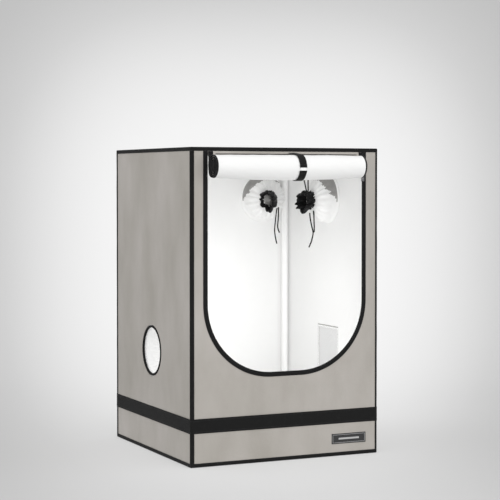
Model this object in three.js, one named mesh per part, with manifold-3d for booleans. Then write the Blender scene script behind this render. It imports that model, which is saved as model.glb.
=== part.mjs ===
// Printer enclosure tent: a fabric box on a pole frame, with a rolled-up zip door.
// Millimetres, +Z up. The front wall faces -Y and the origin is the middle of the floor.

import * as THREE from 'three';
import { mergeVertices } from 'three/addons/utils/BufferGeometryUtils.js';
import Module from 'manifold-3d';

const wasm = await Module();
wasm.setup();

// ---------------------------------------------------------------- driving dimensions

const WIDTH = 800;
const HEIGHT = 1200;
const GAP = 0.3;

const FABRIC = 2;
const TRIM = 1.2;
const BAND_OVER = 0.9;

const BINDING = 15;
const BINDING_RETURN = 9.5;
const BAND_LOW = 127;
const BAND_HIGH = 182;

const POLE_RADIUS = 14;
const POLE_WALL = 1.2;
const POLE_AT = 373;
const POLE_SIDES = 12;

const CORNER_BALL = 18;
const CORNER_FROM_END = 22;
const COLLAR_RADIUS = 16.5;
const COLLAR_END = 24;
const SPIGOT_RADIUS = 12;
const SPIGOT_END = 60;

const BAR_RADIUS = 11;
const BAR_FRONT_Y = -150;
const BAR_BACK_Y = 180;
const CLIP_WIDTH = 24;
const CLIP_INNER = 14.8;
const CLIP_OUTER = 17.6;
const CLIP_LEG = 10;

const ZIP_TAPE = 18.5;
const ZIP_THICK = 2.2;
const DOOR_HALF = 328.5;
const DOOR_LOW = 344;
const DOOR_HIGH = 1168;
const DOOR_CORNER = 266;
const OPENING_UNDER_TAPE = 4;

const ROLL_Y = -452;
const ROLL_Z = 1128;
const ROLL_END_RADIUS = 43.5;
const ROLL_MIDDLE_RADIUS = 49.5;
const ROLL_SAG = 4;
const ROLL_LEFT = -326.2;
const ROLL_RIGHT = 292.2;
const ROLL_CORE = 5;
const ROLL_TAPE = 6;
const SEAM_Z = 1184;
const DROP_BACK_Y = -401.8;
const DROP_THICK = 2.7;
const DROP_TAPE_WIDTH = 18.5;

const STRAP_X = 20;
const STRAP_WIDTH = 30;
const STRAP_THICK = 1.5;

const SLIDER_X = 327;
const SLIDER_LOW = 1090;
const SLIDER_HIGH = 1114;
const PULL_PIVOT_Y = -408;
const PULL_PIVOT_Z = 1096;
const PULL_LOW = 1071;

const PORT_RADIUS = 100;
const RING_TUBE = 5;
const SLEEVE_RADIUS = 97;
const SLEEVE_SHOULDER = 24;
const SLEEVE_END = 79;
const SLEEVE_THICK = 3;
const CUFF_RADIUS = 38;
const CUFF_PINCH = 34;
const CUFF_BORE = 25;
const CUFF_END = 127;
const SLEEVE_DROOP = 13;

const VENT = { u: 8, v: 379, width: 176, height: 172, border: 6 };
const VENT_FLAP = 190;
const LABEL = { u: 272, v: 67, width: 150, height: 40 };

const CURVE_STEPS = 12;

const CORD_RADIUS = 2.25;
const CORD_SIDES = 8;
const CORD_STEP = 13;

// ---------------------------------------------------------------- derived dimensions

const HALF = WIDTH / 2;
const TRIM_OUT = HALF - BAND_OVER - GAP;
const TRIM_IN = TRIM_OUT - TRIM;
const SKIN_OUT = TRIM_IN - GAP;
const SKIN_IN = SKIN_OUT - FABRIC;
const FLOOR_TOP = TRIM + GAP + FABRIC;
const ROOF_UNDER = HEIGHT - FLOOR_TOP;
const CORNER_LOW = CORNER_FROM_END;
const CORNER_HIGH = HEIGHT - CORNER_FROM_END;

const WALLS = { front: 0, right: Math.PI / 2, back: Math.PI, left: -Math.PI / 2 };
const BESIDE_POLE = -(POLE_AT - POLE_RADIUS - 1);
const PORTS = [
  { side: 'back', u: -275, v: 1000, drift: 11, lowestU: BESIDE_POLE },
  { side: 'right', u: 10, v: 1000, drift: 0, lowestU: -HALF },
  { side: 'left', u: 0, v: 402, drift: 0, lowestU: -HALF },
];

// ---------------------------------------------------------------- materials

const finish = (color, roughness, metalness = 0) =>
  new THREE.MeshStandardMaterial({ color, roughness, metalness });

const shellFabric = () => finish('#a8a29b', 0.8);
const liningFabric = () => finish('#eeeeee', 0.45);
const webbing = () => finish('#232322', 0.85);
const poleEnamel = () => finish('#e9e9e9', 0.35, 0.2);
const mouldedPlastic = () => finish('#26282a', 0.5);
const zincMetal = () => finish('#5a5a5a', 0.35, 0.9);
const meshNet = () => finish('#d8d8d8', 0.8);
const cordBraid = () => finish('#141414', 0.9);

// ---------------------------------------------------------------- geometry helpers

const tent = new THREE.Group();

/** Adds one named piece to the tent, turned about the vertical axis to its wall. */
function addPiece(name, geometry, material, turn = 0) {
  const mesh = new THREE.Mesh(geometry, material);
  mesh.name = name;
  mesh.rotation.z = turn;
  tent.add(mesh);
}

/** A box given by its low and high corners. */
function boxBetween(low, high) {
  const size = high.map((value, axis) => value - low[axis]);
  const geometry = new THREE.BoxGeometry(...size);
  geometry.translate(...high.map((value, axis) => (value + low[axis]) / 2));
  return geometry;
}

/** A square slab centred on the tent's axis. */
function slab(half, low, high) {
  return boxBetween([-half, -half, low], [half, half, high]);
}

/** A round rod whose axis runs along X, Y or Z, from start over length. */
function rodAlong(axis, radius, length, start, sides = POLE_SIDES) {
  const geometry = new THREE.CylinderGeometry(radius, radius, length, sides);
  geometry.translate(0, length / 2, 0);
  if (axis === 'x') geometry.rotateZ(-Math.PI / 2);
  if (axis === 'z') geometry.rotateX(Math.PI / 2);
  geometry.translate(...start);
  return geometry;
}

/** Turns a closed geometry into a solid for cutting and joining. */
function toSolid(geometry) {
  const bare = geometry.clone();
  bare.deleteAttribute('normal');
  bare.deleteAttribute('uv');
  const merged = mergeVertices(bare, 1e-4);
  return new wasm.Manifold(new wasm.Mesh({
    numProp: 3,
    vertProperties: new Float32Array(merged.attributes.position.array),
    triVerts: new Uint32Array(merged.index.array),
  }));
}

/** Turns a solid back into a geometry. */
function toGeometry(solid) {
  const mesh = solid.getMesh();
  const geometry = new THREE.BufferGeometry();
  geometry.setAttribute('position', new THREE.BufferAttribute(mesh.vertProperties, 3));
  geometry.setIndex(new THREE.BufferAttribute(mesh.triVerts, 1));
  geometry.computeVertexNormals();
  return geometry;
}

/** Joins closed geometries, then cuts others out of them. */
function shapeFrom(joined, cut = []) {
  let solid = toSolid(joined[0]);
  for (const geometry of joined.slice(1)) solid = solid.add(toSolid(geometry));
  for (const geometry of cut) solid = solid.subtract(toSolid(geometry));
  return toGeometry(solid);
}

/** Signed volume of an indexed triangle mesh, positive when its faces point out. */
function signedVolume(points, triangles) {
  let volume = 0;
  const product = new THREE.Vector3();
  for (const [a, b, c] of triangles) volume += points[a].dot(product.crossVectors(points[b], points[c]));
  return volume / 6;
}

/** A closed skin over rings of equal length: capped at both ends, or joined end to end. */
function loft(rings, joinEnds = false) {
  const count = rings[0].length;
  const points = rings.flat();
  const triangles = [];
  const spans = joinEnds ? rings.length : rings.length - 1;
  for (let ring = 0; ring < spans; ring += 1) {
    const here = ring * count;
    const next = ((ring + 1) % rings.length) * count;
    for (let i = 0; i < count; i += 1) {
      const j = (i + 1) % count;
      triangles.push([here + i, here + j, next + j], [here + i, next + j, next + i]);
    }
  }
  if (!joinEnds) {
    for (const [ring, flip] of [[rings[0], true], [rings[rings.length - 1], false]]) {
      const first = points.indexOf(ring[0]);
      const middle = new THREE.Vector3();
      for (const point of ring) middle.addScaledVector(point, 1 / count);
      const hub = points.push(middle) - 1;
      for (let i = 0; i < count; i += 1) {
        const j = (i + 1) % count;
        triangles.push(flip ? [hub, first + j, first + i] : [hub, first + i, first + j]);
      }
    }
  }
  const inward = signedVolume(points, triangles) < 0;
  const index = triangles.flatMap(([a, b, c]) => (inward ? [a, c, b] : [a, b, c]));
  const geometry = new THREE.BufferGeometry().setFromPoints(points);
  geometry.setIndex(index);
  geometry.computeVertexNormals();
  return geometry;
}

/** Extrudes an outline drawn in a wall's own plane (u right, v up), outwards from depth. */
function onWall(shape, depth, thickness) {
  const geometry = new THREE.ExtrudeGeometry(shape, {
    depth: thickness,
    bevelEnabled: false,
    curveSegments: CURVE_STEPS,
  });
  geometry.rotateX(Math.PI / 2);
  geometry.translate(0, -depth, 0);
  return geometry;
}

/** Adds a rectangle's four corners to an outline. */
function rectangle(path, left, right, low, high) {
  path.moveTo(left, low);
  path.lineTo(right, low);
  path.lineTo(right, high);
  path.lineTo(left, high);
  path.closePath();
  return path;
}

/** A rectangular plate on the front wall's plane, centred at u, v. */
function plateOnWall({ u, v, width, height }, depth, thickness) {
  const outline = rectangle(
    new THREE.Shape(), u - width / 2, u + width / 2, v - height / 2, v + height / 2);
  return onWall(outline, depth, thickness);
}

/** Draws the door's U from its top left to its top right, round the two bottom corners. */
function doorCurve(path, offset, top) {
  const side = DOOR_HALF + offset;
  const low = DOOR_LOW - offset;
  const radius = DOOR_CORNER + offset;
  path.moveTo(-side, top);
  path.lineTo(-side, low + radius);
  path.absarc(-side + radius, low + radius, radius, Math.PI, 1.5 * Math.PI, false);
  path.absarc(side - radius, low + radius, radius, 1.5 * Math.PI, 2 * Math.PI, false);
  path.lineTo(side, top);
  return path;
}

// ---------------------------------------------------------------- pole frame

/** A moulded three-way corner: a ball with a collar and a spigot for each pole. */
function cornerConnector(xSide, ySide, topOrBottom) {
  const centre = [xSide * POLE_AT, ySide * POLE_AT, topOrBottom > 0 ? CORNER_HIGH : CORNER_LOW];
  const ball = new THREE.SphereGeometry(CORNER_BALL, POLE_SIDES, 6);
  ball.translate(...centre);
  const parts = [ball];
  const inward = { x: -xSide, y: -ySide, z: -topOrBottom };
  for (const [index, axis] of ['x', 'y', 'z'].entries()) {
    for (const [radius, reach] of [[COLLAR_RADIUS, COLLAR_END], [SPIGOT_RADIUS, SPIGOT_END]]) {
      const start = [...centre];
      if (inward[axis] < 0) start[index] -= reach;
      parts.push(rodAlong(axis, radius, reach, start));
    }
  }
  return shapeFrom(parts);
}

/** A hollow pole between two corner collars, along X, Y or Z. */
function poleTube(length) {
  const inner = POLE_RADIUS - POLE_WALL;
  const profile = [
    new THREE.Vector2(inner, 0),
    new THREE.Vector2(POLE_RADIUS, 0),
    new THREE.Vector2(POLE_RADIUS, length),
    new THREE.Vector2(inner, length),
    new THREE.Vector2(inner, 0),
  ];
  return new THREE.LatheGeometry(profile, POLE_SIDES);
}

/** Places a pole: its local Y becomes the frame axis that it runs along. */
function placedPole(axis, at) {
  const reach = axis === 'z' ? CORNER_HIGH - CORNER_LOW : 2 * POLE_AT;
  const length = reach - 2 * (COLLAR_END + GAP);
  const geometry = poleTube(length);
  geometry.translate(0, -length / 2, 0);
  if (axis === 'x') geometry.rotateZ(-Math.PI / 2);
  if (axis === 'z') geometry.rotateX(Math.PI / 2);
  geometry.translate(...at);
  return geometry;
}

/** A hanging bar: a rod with a downward-open saddle at each end, over the side rails. */
function hangingBar(y) {
  const saddles = [];
  const cuts = [];
  for (const side of [-1, 1]) {
    const x = side * POLE_AT;
    saddles.push(rodAlong('y', CLIP_OUTER, CLIP_WIDTH, [x, y - CLIP_WIDTH / 2, CORNER_HIGH], 18));
    saddles.push(boxBetween(
      [x - CLIP_OUTER, y - CLIP_WIDTH / 2, CORNER_HIGH - CLIP_LEG],
      [x + CLIP_OUTER, y + CLIP_WIDTH / 2, CORNER_HIGH]));
    cuts.push(rodAlong('y', CLIP_INNER, 2 * CLIP_WIDTH, [x, y - CLIP_WIDTH, CORNER_HIGH], 18));
    cuts.push(boxBetween(
      [x - CLIP_INNER, y - CLIP_WIDTH, CORNER_HIGH - 2 * CLIP_OUTER],
      [x + CLIP_INNER, y + CLIP_WIDTH, CORNER_HIGH]));
    cuts.push(boxBetween(
      [x - 2 * CLIP_OUTER, y - CLIP_WIDTH, CORNER_HIGH - 2 * CLIP_OUTER],
      [x + 2 * CLIP_OUTER, y + CLIP_WIDTH, CORNER_HIGH - CLIP_LEG]));
  }
  const clips = toSolid(shapeFrom(saddles, cuts));
  const reach = POLE_AT - CLIP_INNER - 1;
  const rod = toSolid(rodAlong('x', BAR_RADIUS, 2 * reach, [-reach, y, CORNER_HIGH]));
  return toGeometry(clips.add(rod));
}

function addFrame() {
  for (const [level, zSide] of [['bottom', -1], ['top', 1]]) {
    const z = zSide > 0 ? CORNER_HIGH : CORNER_LOW;
    for (const [depthName, ySide] of [['front', -1], ['back', 1]]) {
      for (const [sideName, xSide] of [['left', -1], ['right', 1]]) {
        const name = `corner_${level}_${depthName}_${sideName}`;
        addPiece(name, cornerConnector(xSide, ySide, zSide), mouldedPlastic());
      }
      addPiece(`rail_${level}_${depthName}`, placedPole('x', [0, ySide * POLE_AT, z]), poleEnamel());
    }
    addPiece(`rail_${level}_left`, placedPole('y', [-POLE_AT, 0, z]), poleEnamel());
    addPiece(`rail_${level}_right`, placedPole('y', [POLE_AT, 0, z]), poleEnamel());
  }
  for (const [depthName, ySide] of [['front', -1], ['back', 1]]) {
    for (const [sideName, xSide] of [['left', -1], ['right', 1]]) {
      const at = [xSide * POLE_AT, ySide * POLE_AT, HEIGHT / 2];
      addPiece(`upright_${depthName}_${sideName}`, placedPole('z', at), poleEnamel());
    }
  }
  addPiece('hanging_bar_front', hangingBar(BAR_FRONT_Y), poleEnamel());
  addPiece('hanging_bar_back', hangingBar(BAR_BACK_Y), poleEnamel());
}

// ---------------------------------------------------------------- fabric shell

/** One wall panel in the front wall's frame, with holes cut through it. */
function wallPanel(half, holes) {
  const outline = rectangle(
    new THREE.Shape(), -half, half, FLOOR_TOP + GAP, ROOF_UNDER - GAP);
  outline.holes.push(...holes);
  return onWall(outline, SKIN_IN, FABRIC);
}

/** The round hole that a port's ring sits in. */
function portHole({ u, v }) {
  const hole = new THREE.Path();
  hole.absarc(u, v, PORT_RADIUS + 1.5, 0, 2 * Math.PI, false);
  return hole;
}

function addPanels() {
  const underBinding = TRIM_OUT - BINDING - GAP;
  const floor = shapeFrom([
    slab(SKIN_OUT, TRIM + GAP, FLOOR_TOP),
    slab(underBinding, 0, FLOOR_TOP),
  ]);
  addPiece('floor_panel', floor, liningFabric());
  addPiece('roof_panel', slab(SKIN_OUT, ROOF_UNDER, ROOF_UNDER + FABRIC), shellFabric());

  const doorway = doorCurve(new THREE.Path(), OPENING_UNDER_TAPE, DOOR_HIGH);
  doorway.closePath();
  addPiece('wall_front', wallPanel(SKIN_OUT, [doorway]), shellFabric());

  const ventHole = rectangle(
    new THREE.Path(),
    VENT.u - VENT.width / 2 + VENT.border, VENT.u + VENT.width / 2 - VENT.border,
    VENT.v - VENT.height / 2 + VENT.border, VENT.v + VENT.height / 2 - VENT.border);
  const holes = { back: [], right: [ventHole], left: [] };
  for (const port of PORTS) holes[port.side].push(portHole(port));
  const halves = { back: SKIN_OUT, right: SKIN_IN - GAP, left: SKIN_IN - GAP };
  for (const side of Object.keys(holes)) {
    addPiece(`wall_${side}`, wallPanel(halves[side], holes[side]), shellFabric(), WALLS[side]);
  }
}

/** The L-section binding that goes all round the roof's or the floor's edge. */
function edgeBinding(atTop) {
  const face = atTop ? [HEIGHT - BINDING, HEIGHT] : [0, BINDING];
  const hollow = atTop ? [0, HEIGHT - TRIM] : [TRIM, HEIGHT];
  return shapeFrom(
    [slab(TRIM_OUT, ...face)],
    [slab(TRIM_IN, ...hollow), slab(TRIM_OUT - BINDING, -1, HEIGHT + 1)]);
}

/** The L-section binding of one upright edge, drawn for the front left corner. */
function uprightBinding() {
  const outline = new THREE.Shape();
  outline.moveTo(-TRIM_OUT, -TRIM_OUT);
  outline.lineTo(-TRIM_OUT + BINDING, -TRIM_OUT);
  outline.lineTo(-TRIM_OUT + BINDING, -TRIM_IN);
  outline.lineTo(-TRIM_IN, -TRIM_IN);
  outline.lineTo(-TRIM_IN, -TRIM_OUT + BINDING_RETURN);
  outline.lineTo(-TRIM_OUT, -TRIM_OUT + BINDING_RETURN);
  outline.closePath();
  const low = BINDING + GAP;
  const geometry = new THREE.ExtrudeGeometry(outline, {
    depth: HEIGHT - 2 * low,
    bevelEnabled: false,
  });
  geometry.translate(0, 0, low);
  return geometry;
}

/** The webbing band round all four walls, relieved where it passes over the bindings. */
function lowerBand() {
  const cuts = [slab(TRIM_IN, BAND_LOW - 1, BAND_HIGH + 1)];
  const near = TRIM_OUT - BINDING - GAP;
  const far = TRIM_OUT + GAP;
  for (const x of [-1, 1]) {
    for (const y of [-1, 1]) {
      cuts.push(boxBetween(
        [Math.min(x * near, x * far), Math.min(y * near, y * far), BAND_LOW - 1],
        [Math.max(x * near, x * far), Math.max(y * near, y * far), BAND_HIGH + 1]));
    }
  }
  return shapeFrom([slab(HALF, BAND_LOW, BAND_HIGH)], cuts);
}

function addTrim() {
  addPiece('binding_top', edgeBinding(true), webbing());
  addPiece('binding_bottom', edgeBinding(false), webbing());
  const corners = ['front_left', 'front_right', 'back_right', 'back_left'];
  for (const [turns, corner] of corners.entries()) {
    addPiece(`binding_${corner}`, uprightBinding(), webbing(), turns * Math.PI / 2);
  }
  addPiece('lower_band', lowerBand(), webbing());
  addPiece('label', plateOnWall(LABEL, TRIM_IN, TRIM), webbing());
}

// ---------------------------------------------------------------- door

/** The wall's half of the zip, a U of tape round the doorway. */
function zipTrack() {
  const top = HEIGHT - BINDING - GAP;
  const outline = doorCurve(new THREE.Shape(), ZIP_TAPE, top);
  const inner = doorCurve(new THREE.Path(), 0, top).getPoints(CURVE_STEPS).reverse();
  for (const point of inner) outline.lineTo(point.x, point.y);
  outline.closePath();
  return onWall(outline, TRIM_IN, ZIP_THICK);
}

/** How full the roll is at x, as 1 in its middle and 0 at either end. */
function rollFullness(x) {
  const share = (x - ROLL_LEFT) / (ROLL_RIGHT - ROLL_LEFT);
  return 1 - (2 * share - 1) ** 2;
}

/** The rolled-up door: a fat roll on its core, hanging from the seam by a flat drop. */
function doorRoll() {
  const rings = [];
  const stations = 8;
  const sides = 18;
  for (let i = 0; i <= stations; i += 1) {
    const x = ROLL_LEFT + (ROLL_RIGHT - ROLL_LEFT) * i / stations;
    const full = rollFullness(x);
    const radius = ROLL_END_RADIUS + (ROLL_MIDDLE_RADIUS - ROLL_END_RADIUS) * full;
    const ring = [];
    for (let k = 0; k < sides; k += 1) {
      const angle = 2 * Math.PI * k / sides;
      const y = ROLL_Y + radius * Math.cos(angle);
      const z = ROLL_Z - ROLL_SAG * full + radius * Math.sin(angle);
      ring.push(new THREE.Vector3(x, y, z));
    }
    rings.push(ring);
  }
  const half = DOOR_HALF - DROP_TAPE_WIDTH - GAP;
  const drop = boxBetween(
    [-half, DROP_BACK_Y - DROP_THICK, ROLL_Z - ROLL_SAG], [half, DROP_BACK_Y, SEAM_Z]);
  const bore = rodAlong('x', ROLL_CORE + 0.4, 3 * HALF, [-1.5 * HALF, ROLL_Y, ROLL_Z]);
  const tapeSlots = [
    boxBetween(
      [ROLL_LEFT - 1, DROP_BACK_Y - DROP_THICK - GAP, ROLL_Z - 2 * GAP],
      [-half, 0, SEAM_Z + 1]),
    boxBetween(
      [ROLL_RIGHT, DROP_BACK_Y - 2 * DROP_THICK, ROLL_Z - 2 * ROLL_SAG],
      [half + 1, 0, ROLL_Z + ROLL_SAG + GAP]),
  ];
  return shapeFrom([loft(rings), drop], [bore, ...tapeSlots]);
}

/** The door's half of the zip: rolled into both ends and the core, and down both drops. */
function doorZipTape() {
  const coreLength = ROLL_RIGHT - ROLL_LEFT + 4;
  const parts = [rodAlong('x', ROLL_CORE, coreLength, [ROLL_LEFT - 2, ROLL_Y, ROLL_Z])];
  for (const [side, end] of [[-1, ROLL_LEFT], [1, ROLL_RIGHT]]) {
    const start = side > 0 ? end + GAP : end - GAP - ROLL_TAPE;
    parts.push(rodAlong('x', ROLL_END_RADIUS, ROLL_TAPE, [start, ROLL_Y, ROLL_Z], 18));
    const [near, far] = [(DOOR_HALF - DROP_TAPE_WIDTH) * side, DOOR_HALF * side];
    parts.push(boxBetween(
      [Math.min(near, far), DROP_BACK_Y - DROP_THICK, ROLL_Z],
      [Math.max(near, far), DROP_BACK_Y, SEAM_Z]));
    const [lugNear, lugFar] = [end + GAP * side, DOOR_HALF * side];
    parts.push(boxBetween(
      [Math.min(lugNear, lugFar), ROLL_Y, ROLL_Z],
      [Math.max(lugNear, lugFar), DROP_BACK_Y, ROLL_Z + 4]));
  }
  return shapeFrom(parts);
}

/** A length of strap round the roll, between two angles about its axis. */
function strapArc(fromDegrees, toDegrees, width, thickness) {
  const inner = ROLL_MIDDLE_RADIUS + 0.7;
  const outer = inner + thickness;
  const [from, to] = [THREE.MathUtils.degToRad(fromDegrees), THREE.MathUtils.degToRad(toDegrees)];
  const outline = new THREE.Shape();
  outline.absarc(0, 0, outer, from, to, false);
  outline.absarc(0, 0, inner, to, from, true);
  outline.closePath();
  const geometry = new THREE.ExtrudeGeometry(outline, {
    depth: width,
    bevelEnabled: false,
    curveSegments: Math.ceil((toDegrees - fromDegrees) / 14),
  });
  const turn = new THREE.Matrix4().makeBasis(
    new THREE.Vector3(0, 1, 0), new THREE.Vector3(0, 0, 1), new THREE.Vector3(1, 0, 0));
  geometry.applyMatrix4(turn);
  geometry.translate(STRAP_X - width / 2, ROLL_Y, ROLL_Z - ROLL_SAG);
  return geometry;
}

/** The slider wraps the zip's toothed edge, and carries a pin between two ears. */
function zipSlider() {
  const [left, right] = [SLIDER_X - 8, SLIDER_X + 8];
  const front = -(TRIM_IN + ZIP_THICK + GAP);
  const back = -(TRIM_IN - GAP);
  const parts = [
    boxBetween([left, front - 4, SLIDER_LOW], [right, front, SLIDER_HIGH]),
    boxBetween([left, back, SLIDER_LOW], [DOOR_HALF + OPENING_UNDER_TAPE - 1, back + 3, SLIDER_HIGH]),
    boxBetween([left, front - 1, SLIDER_LOW], [DOOR_HALF - GAP, back + 1, SLIDER_HIGH]),
    rodAlong('x', 1, 8, [SLIDER_X - 4, PULL_PIVOT_Y, PULL_PIVOT_Z], 12),
  ];
  for (const side of [-1, 1]) {
    const x = SLIDER_X + side * 3.9;
    parts.push(boxBetween(
      [x - 0.8, PULL_PIVOT_Y - 1.8, PULL_PIVOT_Z - 2.5], [x + 0.8, front - 1, PULL_PIVOT_Z + 2.5]));
  }
  return shapeFrom(parts);
}

/** The pull tab hangs from the slider's pin by an eye. */
function zipPull() {
  const eye = rodAlong('x', 2.6, 5, [SLIDER_X - 2.5, PULL_PIVOT_Y, PULL_PIVOT_Z], 12);
  const hole = rodAlong('x', 1.4, 8, [SLIDER_X - 4, PULL_PIVOT_Y, PULL_PIVOT_Z], 12);
  const neck = boxBetween(
    [SLIDER_X - 2.5, PULL_PIVOT_Y - 1, PULL_PIVOT_Z - 6],
    [SLIDER_X + 2.5, PULL_PIVOT_Y + 1, PULL_PIVOT_Z - 1.8]);
  const tab = boxBetween(
    [SLIDER_X - 7, PULL_PIVOT_Y - 1, PULL_LOW], [SLIDER_X + 7, PULL_PIVOT_Y + 1, PULL_PIVOT_Z - 5]);
  return shapeFrom([eye, neck, tab], [hole]);
}

function addDoor() {
  addPiece('zip_track', zipTrack(), webbing());
  addPiece('door_roll', doorRoll(), liningFabric());
  addPiece('door_zip_tape', doorZipTape(), webbing());
  addPiece('strap_upper', strapArc(56, 181, STRAP_WIDTH, STRAP_THICK), webbing());
  addPiece('strap_link', strapArc(181.5, 193.5, STRAP_WIDTH, STRAP_THICK), liningFabric());
  addPiece('strap_lower', strapArc(194, 350, STRAP_WIDTH, STRAP_THICK), webbing());
  addPiece('zip_slider', zipSlider(), zincMetal());
  addPiece('zip_pull', zipPull(), zincMetal());
}

// ---------------------------------------------------------------- ports and vent

/** A circle of points at a depth inside the wall, drooping as it goes in, and flat beside a pole. */
function portRing({ u, v, drift, lowestU }, depth, radius, inset = 0, sides = 18) {
  const sag = (depth / 110) ** 2;
  const ring = [];
  for (let i = 0; i < sides; i += 1) {
    const angle = 2 * Math.PI * i / sides;
    const across = u + drift * sag + radius * Math.cos(angle);
    ring.push(new THREE.Vector3(
      Math.max(across, lowestU + inset),
      -SKIN_IN + depth,
      v - SLEEVE_DROOP * sag + radius * Math.sin(angle)));
  }
  return ring;
}

/** The sleeve: a straight shoulder, then a rounded bulge down to the cuff. */
function portSleeve(port) {
  const steps = 4;
  const outer = [portRing(port, RING_TUBE + GAP, SLEEVE_RADIUS)];
  const innerRadius = SLEEVE_RADIUS - SLEEVE_THICK;
  const inner = [portRing(port, RING_TUBE + GAP, innerRadius, SLEEVE_THICK)];
  for (let i = 0; i <= steps; i += 1) {
    const angle = Math.PI / 2 * i / steps;
    const depth = (SLEEVE_END - SLEEVE_SHOULDER) * Math.sin(angle);
    const radius = CUFF_RADIUS + (SLEEVE_RADIUS - CUFF_RADIUS) * Math.cos(angle);
    outer.push(portRing(port, SLEEVE_SHOULDER + depth, radius));
    const innerDepth = depth * (1 - SLEEVE_THICK / SLEEVE_END);
    inner.push(portRing(
      port, SLEEVE_SHOULDER - 1 + innerDepth, radius - SLEEVE_THICK, SLEEVE_THICK));
  }
  return loft([...outer, ...inner.reverse()], true);
}

/** The gathered cuff: pinched where the drawstring runs, open in the middle. */
function portCuff(port) {
  const start = SLEEVE_END + GAP;
  const pinch = start + (CUFF_END - start) / 3;
  return loft([
    portRing(port, start, CUFF_RADIUS),
    portRing(port, pinch, CUFF_PINCH),
    portRing(port, CUFF_END, CUFF_RADIUS),
    portRing(port, CUFF_END, CUFF_BORE),
    portRing(port, pinch, CUFF_BORE),
    portRing(port, start, CUFF_BORE),
  ], true);
}

function addPorts() {
  for (const port of PORTS) {
    const turn = WALLS[port.side];
    const ring = new THREE.TorusGeometry(PORT_RADIUS - RING_TUBE, RING_TUBE, 6, 28);
    ring.rotateX(Math.PI / 2);
    ring.translate(port.u, -SKIN_IN, port.v);
    addPiece(`port_ring_${port.side}`, ring, webbing(), turn);
    addPiece(`port_sleeve_${port.side}`, portSleeve(port), liningFabric(), turn);
    addPiece(`port_cuff_${port.side}`, portCuff(port), webbing(), turn);
  }
}

function addVent() {
  addPiece('vent_mesh', plateOnWall(VENT, SKIN_IN - GAP - TRIM, TRIM), meshNet(), WALLS.right);
  const flap = { u: VENT.u, v: VENT.v, width: VENT_FLAP, height: VENT_FLAP };
  addPiece('vent_flap', plateOnWall(flap, TRIM_IN, FABRIC), shellFabric(), WALLS.right);
}

// ---------------------------------------------------------------- drawstrings

const CORD_ROUTES = {
  drawstring_back_long: [
    [292, 283, 955], [290, 284, 940], [287, 285, 915], [284, 286, 885],
    [282, 286, 859], [284, 285, 838], [287, 284, 820], [291, 283, 802],
  ],
  drawstring_back_short: [
    [299, 283, 959], [299, 283, 937], [298, 284, 904], [296, 285, 878],
    [299, 284, 861], [304, 283, 849],
  ],
  drawstring_right_long: [
    [310, 10, 940], [311, 10, 925], [314, 10, 907], [320, 10, 882],
    [325, 10, 862], [325, 10, 850], [321, 10, 833], [315, 10, 815], [306, 10, 797],
  ],
  drawstring_right_short: [
    [313, -17, 949], [315, -17, 930], [317, -15, 907], [320, -11, 885],
    [324, -3, 869], [327, 3, 862],
  ],
  hanger_cord: [
    [252, 10, 1195], [262, 10, 1155], [273, 10, 1113], [284, 10, 1073], [291, 10, 1045],
    [294, 10, 1032], [298, 10, 1027], [302, 10, 1032], [302, 10, 1045], [302, 10, 1073],
    [303, 10, 1113], [305, 10, 1155], [306, 10, 1195],
  ],
};

/** A round cord along a smooth route through its points. */
function cordAlong(points) {
  const route = new THREE.CatmullRomCurve3(points.map((point) => new THREE.Vector3(...point)));
  const section = new THREE.Shape();
  for (let i = 0; i < CORD_SIDES; i += 1) {
    const angle = 2 * Math.PI * i / CORD_SIDES;
    const [x, y] = [CORD_RADIUS * Math.cos(angle), CORD_RADIUS * Math.sin(angle)];
    if (i === 0) section.moveTo(x, y);
    else section.lineTo(x, y);
  }
  section.closePath();
  return new THREE.ExtrudeGeometry(section, {
    steps: Math.ceil(route.getLength() / CORD_STEP),
    extrudePath: route,
    bevelEnabled: false,
  });
}

function addCords() {
  for (const [name, points] of Object.entries(CORD_ROUTES)) {
    addPiece(name, cordAlong(points), cordBraid());
  }
}

// ---------------------------------------------------------------- assembly

addFrame();
addPanels();
addTrim();
addDoor();
addPorts();
addVent();
addCords();

export default tent;
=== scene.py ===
"""Looks of a printer enclosure tent.

Fabric walls on a pole frame, a rolled-up zip door, gathered cable ports, a net vent and drawstrings are
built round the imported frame. Every length is in metres, in the frame's own axes: +X right, -Y out of the
door, +Z up, with the origin in the middle of the floor.
"""

from __future__ import annotations

import logging
import math
import sys
from dataclasses import dataclass, field
from enum import Enum
from typing import Callable, Optional, Sequence, Union

import bmesh
import bpy
import numpy as np
from mathutils import Matrix, Vector, noise
from mathutils.geometry import delaunay_2d_cdt


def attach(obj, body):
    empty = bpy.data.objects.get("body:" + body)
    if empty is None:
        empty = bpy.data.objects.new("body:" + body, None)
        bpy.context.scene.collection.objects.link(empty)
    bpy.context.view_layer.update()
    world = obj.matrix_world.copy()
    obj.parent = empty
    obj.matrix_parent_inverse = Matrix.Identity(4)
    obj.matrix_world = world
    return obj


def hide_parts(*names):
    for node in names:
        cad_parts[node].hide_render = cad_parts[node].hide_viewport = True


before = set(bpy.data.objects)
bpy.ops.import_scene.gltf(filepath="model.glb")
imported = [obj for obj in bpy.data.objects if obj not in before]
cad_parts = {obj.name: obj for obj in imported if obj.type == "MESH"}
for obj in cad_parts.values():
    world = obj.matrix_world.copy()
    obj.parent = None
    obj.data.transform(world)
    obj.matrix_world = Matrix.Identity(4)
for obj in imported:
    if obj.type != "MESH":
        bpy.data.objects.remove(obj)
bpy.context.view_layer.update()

LOG = logging.getLogger("tent")

ENCLOSURE = "enclosure"
ROLLED_DOOR = "rolled_door"

STITCH = (0.00035, 0.00045, 0.0015)
STITCH_PITCH = 0.0042
FORWARD = Vector((0, -1, 0))

Point2 = tuple[float, float]
Height = Callable[[float, float], float]


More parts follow.
